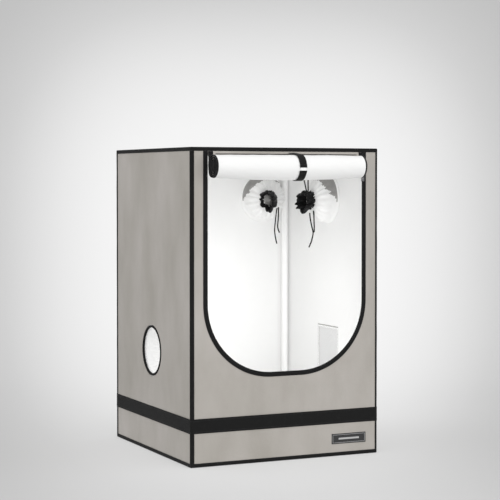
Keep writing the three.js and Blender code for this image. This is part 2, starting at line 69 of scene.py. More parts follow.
class Side(Enum):
    """A wall of the tent, as the angle that turns the front wall onto it."""

    FRONT = 0.0
    RIGHT = math.pi / 2
    BACK = math.pi
    LEFT = -math.pi / 2

    def place(self, u: float, v: float, out: float) -> Vector:
        """Point at u along the wall, v up it and out from the tent's axis."""
        local = Vector((u, -out, v))
        return Matrix.Rotation(self.value, 3, "Z") @ local


# ------------------------------------------------------------------ mesh helpers


def smooth_noise(x: float, y: float, seed: float) -> float:
    """Soft noise from -1 to 1 at a point of the plane."""
    return noise.noise(Vector((x, y, seed)))


def ease(value: float) -> float:
    """Smooth step from 0 at 0 to 1 at 1."""
    value = min(max(value, 0.0), 1.0)
    return value * value * (3 - 2 * value)


def link_up(name: str, data: Optional[bpy.types.ID]) -> bpy.types.Object:
    """Makes an object that shows the data, linked to the scene."""
    piece = bpy.data.objects.new(name, data)
    bpy.context.scene.collection.objects.link(piece)
    return piece


def smooth_shade(mesh: bpy.types.Mesh, sharp: Optional[float] = None) -> None:
    """Shades a mesh smooth, keeping edges that bend by more than so many degrees sharp."""
    mesh.polygons.foreach_set("use_smooth", [True] * len(mesh.polygons))
    if sharp is not None:
        mesh.set_sharp_from_angle(angle=math.radians(sharp))


def bake(piece: bpy.types.Object) -> None:
    """Turns a piece and its modifiers into one plain mesh."""
    graph = bpy.context.evaluated_depsgraph_get()
    mesh = bpy.data.meshes.new_from_object(piece.evaluated_get(graph))
    piece.modifiers.clear()
    piece.data = mesh
    smooth_shade(mesh)


def new_object(
    name: str,
    points: Sequence[Sequence[float]],
    faces: Sequence[Sequence[int]],
    uvs: Optional[Sequence[Sequence[Point2]]] = None,
    slots: Optional[Sequence[int]] = None,
    sharp: float = 40.0,
) -> bpy.types.Object:
    """Makes a smooth-shaded mesh object at the origin.

    Args:
        name: The piece's name.
        points: Vertex places in the frame's axes.
        faces: Vertex indices of each face, wound to point outwards.
        uvs: For each face, one (u, v) in metres for each corner.
        slots: For each face, the index of its material.
        sharp: Edges that bend by more than this many degrees stay sharp.

    Returns:
        The new object, linked to the scene.
    """
    mesh = bpy.data.meshes.new(name)
    mesh.from_pydata([tuple(p) for p in points], [], [tuple(f) for f in faces])
    if uvs is not None:
        layer = mesh.uv_layers.new(name="UVMap")
        flat = [value for corners in uvs for corner in corners for value in corner]
        layer.data.foreach_set("uv", flat)
    if slots is not None:
        mesh.polygons.foreach_set("material_index", list(slots))
    smooth_shade(mesh, sharp)
    mesh.update()
    return link_up(name, mesh)


def on_ring(index: int, count: int) -> tuple[float, float, float]:
    """Angle, cosine and sine of one of so many even steps round a circle."""
    angle = 2 * math.pi * index / count
    return angle, math.cos(angle), math.sin(angle)


@dataclass
class Patchwork:
    """Collects grids of points into one mesh with a UV map in metres."""

    points: list[Sequence[float]] = field(default_factory=list)
    faces: list[tuple[int, ...]] = field(default_factory=list)
    uvs: list[tuple[Point2, ...]] = field(default_factory=list)
    slots: list[int] = field(default_factory=list)

    def add_grid(
        self,
        grid: np.ndarray,
        wrap_rows: bool = False,
        wrap_columns: bool = False,
        flip: bool = False,
        slot: int = 0,
        caps: bool = False,
    ) -> None:
        """Adds a grid of points as quads.

        Args:
            grid: Points as rows x columns x 3.
            wrap_rows: Joins the last row to the first.
            wrap_columns: Joins the last column to the first.
            flip: Turns the faces over.
            slot: Material index of the faces.
            caps: Closes the first and last row with a fan, for a grid with wrapped columns.
        """
        rows, columns = grid.shape[:2]
        base = len(self.points)
        self.points.extend(grid.reshape(-1, 3).tolist())
        along = self._run(np.moveaxis(grid, 0, 1), wrap_rows)
        across = self._run(grid, wrap_columns)
        for i in range(rows if wrap_rows else rows - 1):
            ni = (i + 1) % rows
            for j in range(columns if wrap_columns else columns - 1):
                nj = (j + 1) % columns
                quad = [base + i * columns + j, base + i * columns + nj,
                        base + ni * columns + nj, base + ni * columns + j]
                uv = [(along[i], across[j]), (along[i], across[j + 1]),
                      (along[i + 1], across[j + 1]), (along[i + 1], across[j])]
                if flip:
                    quad.reverse()
                    uv.reverse()
                self._face(quad, uv, slot)
        if caps:
            self._cap(grid, 0, base, not flip, slot)
            self._cap(grid, rows - 1, base, flip, slot)

    def _run(self, grid: np.ndarray, wrap: bool) -> list[float]:
        """Running length along a grid's middle row, with one step more when it is wrapped."""
        line = grid[grid.shape[0] // 2]
        if wrap:
            line = np.vstack([line, line[:1]])
        steps = np.linalg.norm(np.diff(line, axis=0), axis=1)
        return [0.0, *np.cumsum(steps).tolist(), float(steps.sum())]

    def _face(self, corners: Sequence[int], uv: Sequence[Point2], slot: int) -> None:
        """Adds one face."""
        self.faces.append(tuple(corners))
        self.uvs.append(tuple(uv))
        self.slots.append(slot)

    def _cap(self, grid: np.ndarray, row: int, base: int, flip: bool, slot: int) -> None:
        """Closes one end of a wrapped grid with a fan."""
        columns = grid.shape[1]
        middle = grid[row].mean(axis=0)
        hub = len(self.points)
        self.points.append(middle.tolist())
        first = base + row * columns
        for j in range(columns):
            nj = (j + 1) % columns
            corners = [first + j, first + nj, hub]
            if flip:
                corners.reverse()
            self._face(corners, [(0.0, 0.0)] * 3, slot)

    def add_sheet(self, outer: np.ndarray, inner: np.ndarray, wrap_columns: bool = False,
                  slots: tuple[int, int] = (0, 0), edges: bool = True) -> None:
        """Adds a thin sheet from its two skins, closing its free edges.

        Args:
            outer: The outer skin's points, whose faces point outwards as wound.
            inner: The inner skin's points, in the same order.
            wrap_columns: Whether the last column joins the first.
            slots: Material indices of the outer and the inner skin.
            edges: Whether to close the free edges.
        """
        self.add_grid(outer, wrap_columns=wrap_columns, slot=slots[0])
        self.add_grid(inner, wrap_columns=wrap_columns, flip=True, slot=slots[1])
        if not edges:
            return
        for row, flip in ((0, False), (-1, True)):
            rim = np.stack([inner[row], outer[row]])
            self.add_grid(rim, wrap_columns=wrap_columns, flip=flip, slot=slots[0])
        if not wrap_columns:
            for column, flip in ((0, True), (-1, False)):
                rim = np.stack([inner[:, column], outer[:, column]])
                self.add_grid(rim, flip=flip, slot=slots[0])

    def build(self, name: str, sharp: float = 40.0) -> bpy.types.Object:
        """Makes the object, with doubled points merged and the faces pointing out."""
        piece = new_object(name, self.points, self.faces, self.uvs, self.slots, sharp)
        work = bmesh.new()
        work.from_mesh(piece.data)
        bmesh.ops.remove_doubles(work, verts=work.verts, dist=2e-6)
        bmesh.ops.recalc_face_normals(work, faces=work.faces)
        work.to_mesh(piece.data)
        work.free()
        piece.data.set_sharp_from_angle(angle=math.radians(sharp))
        return piece


def grid_piece(name: str, rows: Sequence, sharp: float = 40.0, **joins: bool) -> bpy.types.Object:
    """Makes an object from one grid of points; joins are add_grid's own."""
    patch = Patchwork()
    patch.add_grid(np.array(rows), **joins)
    return patch.build(name, sharp)


def sheet_piece(name: str, outer: Sequence, inner: Sequence, sharp: float,
                slots: tuple[int, int] = (0, 0)) -> bpy.types.Object:
    """Makes an object from the two skins of a thin sheet."""
    patch = Patchwork()
    patch.add_sheet(np.array(outer), np.array(inner), slots=slots)
    return patch.build(name, sharp)


def frame_along(path: np.ndarray, closed: bool = False) -> np.ndarray:
    """Unit direction of a path at each of its points."""
    if closed:
        ahead = np.roll(path, -1, axis=0) - np.roll(path, 1, axis=0)
    else:
        ahead = np.gradient(path, axis=0)
    return ahead / np.linalg.norm(ahead, axis=1, keepdims=True)


def smooth_path(points: Sequence[Sequence[float]], step: float) -> list[Vector]:
    """Uniform Catmull-Rom curve through the points, sampled about every step."""
    knots = [Vector(p) for p in points]
    knots = [2 * knots[0] - knots[1], *knots, 2 * knots[-1] - knots[-2]]
    out: list[Vector] = []
    for a, b, c, d in zip(knots, knots[1:], knots[2:], knots[3:]):
        count = max(2, round((c - b).length / step))
        for i in range(count):
            t = i / count
            out.append(0.5 * (2 * b + (c - a) * t + (2 * a - 5 * b + 4 * c - d) * t * t
                              + (3 * b - a - 3 * c + d) * t ** 3))
    out.append(knots[-2])
    return out


def settle(piece: bpy.types.Object, body: str, nodes: Sequence[str] = ()) -> None:
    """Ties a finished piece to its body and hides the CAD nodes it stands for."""
    piece.name = piece.name.replace(" ", "-")
    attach(piece, body)
    if nodes:
        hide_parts(*nodes)
    LOG.info("%s: %d faces on %s", piece.name, len(getattr(piece.data, "polygons", ())), body)


def join(name: str, pieces: Sequence[bpy.types.Object]) -> bpy.types.Object:
    """Joins meshes that share the same materials order into the first, and renames it."""
    work = bmesh.new()
    materials: list[bpy.types.Material] = []
    for piece in pieces:
        for material in piece.data.materials:
            if material not in materials:
                materials.append(material)
    for piece in pieces:
        lookup = [materials.index(m) for m in piece.data.materials] or [0]
        start = len(work.faces)
        work.from_mesh(piece.data)
        work.faces.ensure_lookup_table()
        for face in work.faces[start:]:
            face.material_index = lookup[min(face.material_index, len(lookup) - 1)]
    target = pieces[0]
    work.to_mesh(target.data)
    work.free()
    target.data.materials.clear()
    for material in materials:
        target.data.materials.append(material)
    for piece in pieces[1:]:
        bpy.data.objects.remove(piece)
    target.name = name
    target.data.name = name
    return target


# ------------------------------------------------------------------ finishes


class Space(Enum):
    """What a pattern is laid out in."""

    CLOTH = "UV"
    SOLID = "Object"


@dataclass(frozen=True)
class Finish:
    """Colour and surface of one material.

    Attributes:
        name: The material's name.
        colour: Base colour, linear.
        roughness: From 0, glossy, to 1, matt.
        metalness: From 0 to 1.
        shine: How strongly it mirrors, where 0.5 is plastic.
        weave: Threads in a metre, or 0 for no weave.
        relief: Depth of the weave in metres.
        mottle: How much broad patches lighten and darken it.
        warmth: How much the darker patches turn warm.
        fleck: How much single threads lighten and darken it.
        creases: Depth of soft creases in metres.
        wear: How much worn spots lighten it.
        sheen: Soft sheen of fibres.
        painted_glow: Painted light, as a share of its colour, that the surface gives off though it is no
            lamp.
        space: What the weave is laid out in.
    """

    name: str
    colour: tuple[float, float, float]
    roughness: float = 0.6
    metalness: float = 0.0
    shine: float = 0.5
    weave: float = 0.0
    relief: float = 0.0
    mottle: float = 0.0
    warmth: float = 0.0
    fleck: float = 0.0
    creases: float = 0.0
    wear: float = 0.0
    sheen: float = 0.0
    painted_glow: float = 0.0
    space: Space = Space.CLOTH


OUTER = Finish("Grey outer cloth", (0.385, 0.362, 0.333), 0.74, shine=0.3, weave=1400,
               relief=0.00010, mottle=0.30, warmth=0.10, fleck=0.055, creases=0.0008, sheen=0.1)
# Painted light: the lining glows a little, brightening the tent's inside and every wall's inner skin.
LINING = Finish("White lining", (0.79, 0.79, 0.785), 0.42, shine=0.4, weave=2200, relief=0.00004,
                mottle=0.02, creases=0.0007, painted_glow=0.11)
# Painted light: a copy of the lining, a little darker and with a weaker painted glow, tuned to how the roll
# is lit.
ROLLED = Finish("Rolled white lining", (0.75, 0.75, 0.745), 0.45, shine=0.35, weave=2200,
                relief=0.00004, mottle=0.02, creases=0.0007, painted_glow=0.05)
# Painted shade: grey cloth put inside the sleeves' necks and along their upper edges, where shadow falls.
PAINTED_SHADE = Finish("Painted shade cloth", (0.34, 0.335, 0.325), 0.74, shine=0.2, weave=1400,
                relief=0.00010, mottle=0.1)
# Painted light: the sleeve cloth seen from outside the tent glows as if lit through from inside.
PAINTED_BACKLIGHT = Finish("Lining with painted backlight", (0.79, 0.79, 0.785), 0.42, shine=0.4, weave=2200,
                 relief=0.00004, mottle=0.02, creases=0.0007, painted_glow=0.30)
WEBBING = Finish("Black webbing", (0.0085, 0.0085, 0.0085), 0.78, shine=0.12, weave=900,
                 relief=0.00022, mottle=0.18, wear=0.3, sheen=0.03)
TAPE = Finish("Black zip tape", (0.0075, 0.0075, 0.0078), 0.7, shine=0.12, weave=1600,
              relief=0.00012, mottle=0.12, wear=0.2, sheen=0.02)
CUFF = Finish("Black cuff cloth", (0.0060, 0.0060, 0.0064), 0.6, shine=0.2, weave=1500,
              relief=0.00010, mottle=0.2, creases=0.0009, wear=0.3, sheen=0.02)
BRAID = Finish("Black braid", (0.0025, 0.0025, 0.0026), 0.8, shine=0.05, weave=700,
               relief=0.0003, mottle=0.1, wear=0.05, space=Space.SOLID)
# Painted light: the net glows a little.
NET = Finish("Pale net", (0.80, 0.80, 0.80), 0.55, mottle=0.03, painted_glow=0.05, space=Space.SOLID)
# Painted light: the enamel glows a little.
ENAMEL = Finish("White enamel", (0.84, 0.84, 0.835), 0.28, painted_glow=0.12,
                space=Space.SOLID)
PLASTIC = Finish("Moulded plastic", (0.022, 0.023, 0.025), 0.42, creases=0.00008, wear=0.3,
                 space=Space.SOLID)
ZINC = Finish("Dark zinc", (0.16, 0.16, 0.165), 0.34, metalness=0.95, mottle=0.15, wear=0.5,
              space=Space.SOLID)
NYLON = Finish("Nylon teeth", (0.016, 0.016, 0.017), 0.3, space=Space.SOLID)
THREAD = Finish("Black thread", (0.02, 0.02, 0.021), 0.55, space=Space.SOLID)
PALE_THREAD = Finish("Grey thread", (0.25, 0.24, 0.23), 0.6, space=Space.SOLID)
LABEL_INK = Finish("Label cloth", (0.012, 0.012, 0.013), 0.6, weave=2600, relief=0.00008,
                   mottle=0.1, sheen=0.2)
LABEL_MARK = Finish("Label weave pale", (0.42, 0.42, 0.42), 0.6, weave=2600, relief=0.00006)


def add_node(tree: bpy.types.NodeTree, kind: str, feeds: dict[Union[str, int], object]
             ) -> bpy.types.Node:
    """Adds a node and feeds its inputs, each from a socket or with a plain value."""
    node = tree.nodes.new(kind)
    for key, value in feeds.items():
        if isinstance(value, bpy.types.NodeSocket):
            tree.links.new(value, node.inputs[key])
        else:
            node.inputs[key].default_value = value
    return node


def maths(tree: bpy.types.NodeTree, kind: str, *values: object) -> bpy.types.NodeSocket:
    """A maths node fed by sockets and plain numbers."""
    node = add_node(tree, "ShaderNodeMath", dict(enumerate(values)))
    node.operation = kind
    return node.outputs[0]


def noise_at(tree: bpy.types.NodeTree, place: bpy.types.NodeSocket, scale: float, detail: float,
             **more: float) -> bpy.types.NodeSocket:
    """A noise texture read at a place."""
    feeds = {"Scale": scale, "Detail": detail, **more, "Vector": place}
    return add_node(tree, "ShaderNodeTexNoise", feeds).outputs["Fac"]


def principled(name: str) -> tuple[bpy.types.Material, bpy.types.Node]:
    """A new material and its Principled shader."""
    material = bpy.data.materials.new(name)
    material.use_nodes = True
    return material, next(n for n in material.node_tree.nodes if n.type == "BSDF_PRINCIPLED")


class Finishes:
    """Makes each material once, over shared node groups."""

    def __init__(self) -> None:
        self._made: dict[str, bpy.types.Material] = {}
        self._weave = self._weave_group()
        self._patches = self._patches_group()
        self._creases = self._creases_group()

    def __getitem__(self, finish: Finish) -> bpy.types.Material:
        if finish.name not in self._made:
            self._made[finish.name] = self._material(finish)
        return self._made[finish.name]

    def _group(self, name: str, inputs: Sequence[tuple[str, str]],
               outputs: Sequence[str]) -> tuple[bpy.types.NodeTree, bpy.types.Node, bpy.types.Node]:
        """A shader group with its sockets."""
        tree = bpy.data.node_groups.new(name, "ShaderNodeTree")
        for socket, kind in inputs:
            tree.interface.new_socket(socket, in_out="INPUT", socket_type=kind)
        for socket in outputs:
            tree.interface.new_socket(socket, in_out="OUTPUT", socket_type="NodeSocketFloat")
        return tree, tree.nodes.new("NodeGroupInput"), tree.nodes.new("NodeGroupOutput")

    def _weave_group(self) -> bpy.types.NodeTree:
        """Plain weave over a flat coordinate in metres: height from 0 to 1."""
        tree, inner, outer = self._group(
            "Plain weave", [("Place", "NodeSocketVector"), ("Threads", "NodeSocketFloat")], ["Height"])
        parts = add_node(tree, "ShaderNodeSeparateXYZ", {0: inner.outputs["Place"]})
        rate = maths(tree, "MULTIPLY", inner.outputs["Threads"], math.pi)
        waves = [maths(tree, "SINE", maths(tree, "MULTIPLY", parts.outputs[i], rate))
                 for i in (0, 1)]
        product = maths(tree, "MULTIPLY", waves[0], waves[1])
        height = maths(tree, "MULTIPLY_ADD", product, 0.5, 0.5)
        tree.links.new(height, outer.inputs["Height"])
        return tree

    def _patches_group(self) -> bpy.types.NodeTree:
        """Broad soft patches, taller than wide, small worn spots and single threads."""
        tree, inner, outer = self._group(
            "Patches and wear", [("Place", "NodeSocketVector")], ["Patches", "Wear", "Fleck"])
        place = inner.outputs["Place"]
        stretch = add_node(tree, "ShaderNodeMapping", {"Scale": (1.0, 1.0, 0.45), "Vector": place})
        broad = noise_at(tree, stretch.outputs[0], 5.5, 4.0, Roughness=0.55)
        spots = add_node(tree, "ShaderNodeMapRange", {
            "From Min": 0.55, "From Max": 0.78, "Value": noise_at(tree, place, 55.0, 5.0)})
        tree.links.new(broad, outer.inputs["Patches"])
        tree.links.new(spots.outputs[0], outer.inputs["Wear"])
        tree.links.new(noise_at(tree, place, 330.0, 1.0), outer.inputs["Fleck"])
        return tree

    def _creases_group(self) -> bpy.types.NodeTree:
        """Soft creases: ridges of noise at two sizes, as a height from 0 to 1."""
        tree, inner, outer = self._group(
            "Soft creases", [("Place", "NodeSocketVector")], ["Height"])
        ridges = []
        for scale, warp in ((9.0, 0.8), (26.0, 1.2)):
            ridge = noise_at(tree, inner.outputs["Place"], scale, 2.0, Distortion=warp)
            folded = maths(tree, "ABSOLUTE", maths(tree, "SUBTRACT", ridge, 0.5))
            ridges.append(maths(tree, "MULTIPLY_ADD", folded, -2.0, 1.0))
        mixed = maths(tree, "MULTIPLY_ADD", ridges[1], 0.35, maths(
            tree, "MULTIPLY", ridges[0], 0.65))
        tree.links.new(mixed, outer.inputs["Height"])
        return tree

    def _use(self, tree: bpy.types.NodeTree, group: bpy.types.NodeTree,
             place: bpy.types.NodeSocket) -> bpy.types.Node:
        """Puts a shared group into a material and feeds it its place."""
        node = tree.nodes.new("ShaderNodeGroup")
        node.node_tree = group
        tree.links.new(place, node.inputs["Place"])
        return node

    def _material(self, finish: Finish) -> bpy.types.Material:
        """Builds one finish on a Principled shader."""
        material, shader = principled(finish.name)
        tree = material.node_tree
        # Emission Strength carries the painted glow: painted light from a surface that is no lamp.
        for socket, value in {
            "Base Color": (*finish.colour, 1), "Roughness": finish.roughness,
            "Metallic": finish.metalness, "Sheen Weight": finish.sheen,
            "Specular IOR Level": finish.shine, "Emission Color": (*finish.colour, 1),
            "Emission Strength": finish.painted_glow,
        }.items():
            shader.inputs[socket].default_value = value
        places = tree.nodes.new("ShaderNodeTexCoord")
        if finish.mottle or finish.wear:
            self._tint(tree, finish, shader, places.outputs["Object"])
        self._emboss(tree, finish, shader, places)
        return material

    def _tint(self, tree: bpy.types.NodeTree, finish: Finish, shader: bpy.types.Node,
              solid: bpy.types.NodeSocket) -> None:
        """Varies a finish's colour and roughness over its surface."""
        patches = self._use(tree, self._patches, solid).outputs
        lift = maths(tree, "MULTIPLY_ADD", patches["Patches"], 2 * finish.mottle, 1 - finish.mottle)
        lift = maths(tree, "MULTIPLY_ADD", patches["Wear"], finish.wear, lift)
        lift = maths(tree, "MULTIPLY_ADD", patches["Fleck"], 2 * finish.fleck,
                     maths(tree, "SUBTRACT", lift, finish.fleck))
        cool = maths(tree, "MULTIPLY_ADD", patches["Patches"], finish.warmth, 1 - finish.warmth / 2)
        channels = add_node(tree, "ShaderNodeCombineColor", {
            0: lift, 1: lift, 2: maths(tree, "MULTIPLY", lift, cool)})
        tint = tree.nodes.new("ShaderNodeMix")
        tint.data_type = "RGBA"
        tint.blend_type = "MULTIPLY"
        tint.inputs[0].default_value = 1.0
        tint.inputs[6].default_value = (*finish.colour, 1)
        tree.links.new(channels.outputs[0], tint.inputs[7])
        tree.links.new(tint.outputs[2], shader.inputs["Base Color"])
        rough = maths(tree, "MULTIPLY_ADD", patches["Wear"], -0.12, finish.roughness)
        tree.links.new(rough, shader.inputs["Roughness"])

    def _emboss(self, tree: bpy.types.NodeTree, finish: Finish, shader: bpy.types.Node,
                places: bpy.types.Node) -> None:
        """Bumps a finish with its creases and its weave."""
        solid, woven = places.outputs["Object"], places.outputs[finish.space.value]
        normal = None
        layers = ((finish.creases, self._creases, solid), (finish.relief, self._weave, woven))
        for depth, group, place in layers:
            if not depth:
                continue
            node = self._use(tree, group, place)
            if group is self._weave:
                node.inputs["Threads"].default_value = finish.weave
            feeds = {"Distance": depth, "Height": node.outputs["Height"]}
            if normal is not None:
                feeds["Normal"] = normal
            normal = add_node(tree, "ShaderNodeBump", feeds).outputs["Normal"]
        if normal is not None:
            tree.links.new(normal, shader.inputs["Normal"])


FINISHES = Finishes()


def paint(piece: bpy.types.Object, *finishes: Finish) -> bpy.types.Object:
    """Gives a piece its materials, in slot order."""
    faces = piece.data.polygons
    slots = [0] * len(faces)
    faces.foreach_get("material_index", slots)
    piece.data.materials.clear()
    for finish in finishes:
        piece.data.materials.append(FINISHES[finish])
    faces.foreach_set("material_index", slots)
    return piece


# ------------------------------------------------------------------ repeated bits


@dataclass(frozen=True)
class Placing:
    """Where one repeated bit sits, which way it runs and which way it faces."""

    at: Sequence[float]
    along: Sequence[float]
    facing: Sequence[float]


class Repeater:
    """Geometry Nodes trees for stitches, teeth and net threads."""

    def __init__(self) -> None:
        self._bits = self._bits_tree()
        self._threads = self._threads_tree()

    @staticmethod
    def _tree(name: str, inputs: Sequence[tuple[str, str]]
              ) -> tuple[bpy.types.NodeTree, bpy.types.Node, bpy.types.Node]:
        """A geometry group with named inputs."""
        tree = bpy.data.node_groups.new(name, "GeometryNodeTree")
        tree.interface.new_socket("Geometry", in_out="INPUT", socket_type="NodeSocketGeometry")
        for socket, kind in inputs:
            tree.interface.new_socket(socket, in_out="INPUT", socket_type=kind)
        tree.interface.new_socket("Geometry", in_out="OUTPUT", socket_type="NodeSocketGeometry")
        return tree, tree.nodes.new("NodeGroupInput"), tree.nodes.new("NodeGroupOutput")

    @staticmethod
    def _end(tree: bpy.types.NodeTree, inner: bpy.types.Node, outer: bpy.types.Node,
             shape: bpy.types.NodeSocket) -> None:
        """Closes a tree with Realize Instances and Set Material."""
        real = add_node(tree, "GeometryNodeRealizeInstances", {0: shape})
        coat = add_node(tree, "GeometryNodeSetMaterial", {
            "Geometry": real.outputs[0], "Material": inner.outputs["Material"]})
        tree.links.new(coat.outputs[0], outer.inputs[0])

    def _bits_tree(self) -> bpy.types.NodeTree:
        """An ellipsoid at each vertex, turned by its along and facing attributes."""
        tree, inner, outer = self._tree("Sewn bits", [
            ("Size", "NodeSocketVector"), ("Spread", "NodeSocketFloat"),
            ("Seed", "NodeSocketInt"), ("Material", "NodeSocketMaterial")])
        bit = add_node(tree, "GeometryNodeMeshUVSphere", {"Segments": 6, "Rings": 4, "Radius": 1.0})
        rotation = None
        for axis, name in (("Z", "along"), ("X", "facing")):
            read = tree.nodes.new("GeometryNodeInputNamedAttribute")
            read.data_type = "FLOAT_VECTOR"
            read.inputs["Name"].default_value = name
            turn = tree.nodes.new("FunctionNodeAlignEulerToVector")
            turn.axis = axis
            if rotation is not None:
                turn.pivot_axis = "Z"
                tree.links.new(rotation, turn.inputs["Rotation"])
            tree.links.new(read.outputs["Attribute"], turn.inputs["Vector"])
            rotation = turn.outputs["Rotation"]
        given = inner.outputs
        low = maths(tree, "SUBTRACT", 1.0, given["Spread"])
        vary = add_node(tree, "FunctionNodeRandomValue", {2: low, 3: 1.0, "Seed": given["Seed"]})
        scale = tree.nodes.new("ShaderNodeVectorMath")
        scale.operation = "SCALE"
        tree.links.new(given["Size"], scale.inputs[0])
        tree.links.new(vary.outputs[1], scale.inputs["Scale"])
        spread = add_node(tree, "GeometryNodeInstanceOnPoints", {
            "Points": given["Geometry"], "Instance": bit.outputs["Mesh"], "Rotation": rotation,
            "Scale": scale.outputs[0]})
        self._end(tree, inner, outer, spread.outputs[0])
        return tree

    def _threads_tree(self) -> bpy.types.NodeTree:
        """A thin round thread along each run of edges."""
        tree, inner, outer = self._tree("Threads", [
            ("Radius", "NodeSocketFloat"), ("Sides", "NodeSocketInt"),
            ("Material", "NodeSocketMaterial")])
        given = inner.outputs
        runs = add_node(tree, "GeometryNodeMeshToCurve", {"Mesh": given["Geometry"]})
        ring = add_node(tree, "GeometryNodeCurvePrimitiveCircle", {
            "Radius": given["Radius"], "Resolution": given["Sides"]})
        skin = add_node(tree, "GeometryNodeCurveToMesh", {
            "Fill Caps": True, "Curve": runs.outputs[0], "Profile Curve": ring.outputs[0]})
        self._end(tree, inner, outer, skin.outputs[0])
        return tree

    @staticmethod
    def _run(piece: bpy.types.Object, tree: bpy.types.NodeTree, **values: object) -> bpy.types.Object:
        """Runs a tree on an object and keeps the result as its plain mesh."""
        modifier = piece.modifiers.new(tree.name, "NODES")
        modifier.node_group = tree
        for socket in tree.interface.items_tree:
            if socket.in_out == "INPUT" and socket.name in values:
                modifier[socket.identifier] = values[socket.name]
        bake(piece)
        piece.data.name = piece.name
        return piece

    def bits(self, name: str, places: Sequence[Placing], size: Sequence[float], finish: Finish,
             spread: float = 0.1, seed: int = 1) -> bpy.types.Object:
        """Puts a small bead at each placing.

        Args:
            name: The piece's name.
            places: Where the beads go.
            size: Half sizes: outwards, across and along.
            finish: The beads' material.
            spread: How much smaller the smallest bead is.
            seed: Seed of the sizes.
        """
        mesh = bpy.data.meshes.new(name)
        mesh.from_pydata([tuple(p.at) for p in places], [], [])
        for attribute, ways in (("along", [p.along for p in places]),
                                ("facing", [p.facing for p in places])):
            layer = mesh.attributes.new(attribute, "FLOAT_VECTOR", "POINT")
            layer.data.foreach_set("vector", [float(c) for way in ways for c in way])
        return self._run(link_up(name, mesh), self._bits, Size=tuple(size), Spread=spread,
                         Seed=seed, Material=FINISHES[finish])

    def threads(self, name: str, runs: Sequence[Sequence[Sequence[float]]], radius: float,
                finish: Finish, sides: int = 5) -> bpy.types.Object:
        """Lays a thin thread along each run of points."""
        points: list[tuple[float, ...]] = []
        edges: list[tuple[int, int]] = []
        for run in runs:
            first = len(points)
            points.extend(tuple(p) for p in run)
            edges.extend((first + i, first + i + 1) for i in range(len(run) - 1))
        mesh = bpy.data.meshes.new(name)
        mesh.from_pydata(points, edges, [])
        return self._run(link_up(name, mesh), self._threads, Radius=radius, Sides=sides,
                         Material=FINISHES[finish])


REPEATER = Repeater()


def sew(name: str, places: Sequence[Placing], body: str = ENCLOSURE,
        size: Sequence[float] = STITCH, finish: Finish = THREAD, spread: float = 0.1,
        seed: int = 1) -> None:
    """Sews one set of stitches or teeth onto a body; the last four are as in Repeater.bits."""
    settle(REPEATER.bits(name, places, size, finish, spread, seed), body, ())


def stitch_row(path: Sequence[Vector], facing: Callable[[Vector], Vector], pitch: float
               ) -> list[Placing]:
    """Places stitches at an even pitch along a path."""
    places: list[Placing] = []
    due = pitch / 2
    for a, b in zip(path, path[1:]):
        run = (b - a).length
        if run == 0:
            continue
        while due < run:
            at = a.lerp(b, due / run)
            places.append(Placing(at, (b - a) / run, facing(at)))
            due += pitch
        due -= run
    return places


# ------------------------------------------------------------------ sizes

GAP = 0.0003
HOOP_CORNER = 0.0036
HALF = 0.4
HEIGHT = 1.2
TRIM_OUT = 0.3988
TRIM_IN = 0.3976
SKIN_OUT = 0.3973
SKIN = 0.002
SKIN_IN = SKIN_OUT - SKIN
FLOOR_TOP = 0.0035
ROOF_UNDER = 1.1965
BINDING = 0.015
BINDING_RETURN = 0.0095

DOOR_HALF = 0.3285
DOOR_LOW = 0.344
DOOR_CORNER = 0.266
DOOR_HIGH = 1.168
TRACK_TOP = 1.1847

ROLL_Y = -0.452
ROLL_Z = 1.128
ROLL_SAG = 0.004
ROLL_END_RADIUS = 0.0435
ROLL_MIDDLE_RADIUS = 0.0495
ROLL_LEFT = -0.3262
ROLL_RIGHT = 0.2922
ROLL_TAPE = 0.006
SEAM_Z = 1.184

DROP_HALF = 0.3098
STRAP_X = 0.020
STRAP_ROWS = (STRAP_X - 0.0128, STRAP_X + 0.0128)
SLIDER_X = 0.327
PIN_Y = -0.408
PIN_Z = 1.096

POLE_RADIUS = 0.014
POLE_WALL = 0.0012
POLE_AT = 0.373
CORNER_LOW = 0.022
CORNER_HIGH = HEIGHT - CORNER_LOW
BALL_RADIUS = 0.0176
SADDLE_OUT = 0.0176
SADDLE_IN = 0.0148


# ------------------------------------------------------------------ cloth panels


def square_hoop(half: float, radius: float, per_side: int = 60, per_corner: int = 6) -> np.ndarray:
    """Points round a square with rounded corners, anticlockwise seen from above."""
    radius = max(radius, 0.0003)
    straight = half - radius
    points = []
    for quarter in range(4):
        cos, sin = round(math.cos(quarter * math.pi / 2)), round(math.sin(quarter * math.pi / 2))
        side = [(-straight + 2 * straight * i / per_side, -half) for i in range(per_side)]
        for i in range(per_corner):
            angle = -math.pi / 2 + math.pi / 2 * i / per_corner
            side.append((straight + radius * math.cos(angle), -straight + radius * math.sin(angle)))
        points.extend((x * cos - y * sin, x * sin + y * cos) for x, y in side)
    return np.array(points)


def rectangle(left: float, right: float, low: float, high: float) -> list[Point2]:
    """Corners of a rectangle, anticlockwise."""
    return [(left, low), (right, low), (right, high), (left, high)]


def circle(u: float, v: float, radius: float, count: int = 72) -> list[Point2]:
    """Points round a circle, anticlockwise."""
    return [(u + radius * math.cos(2 * math.pi * i / count),
             v + radius * math.sin(2 * math.pi * i / count)) for i in range(count)]


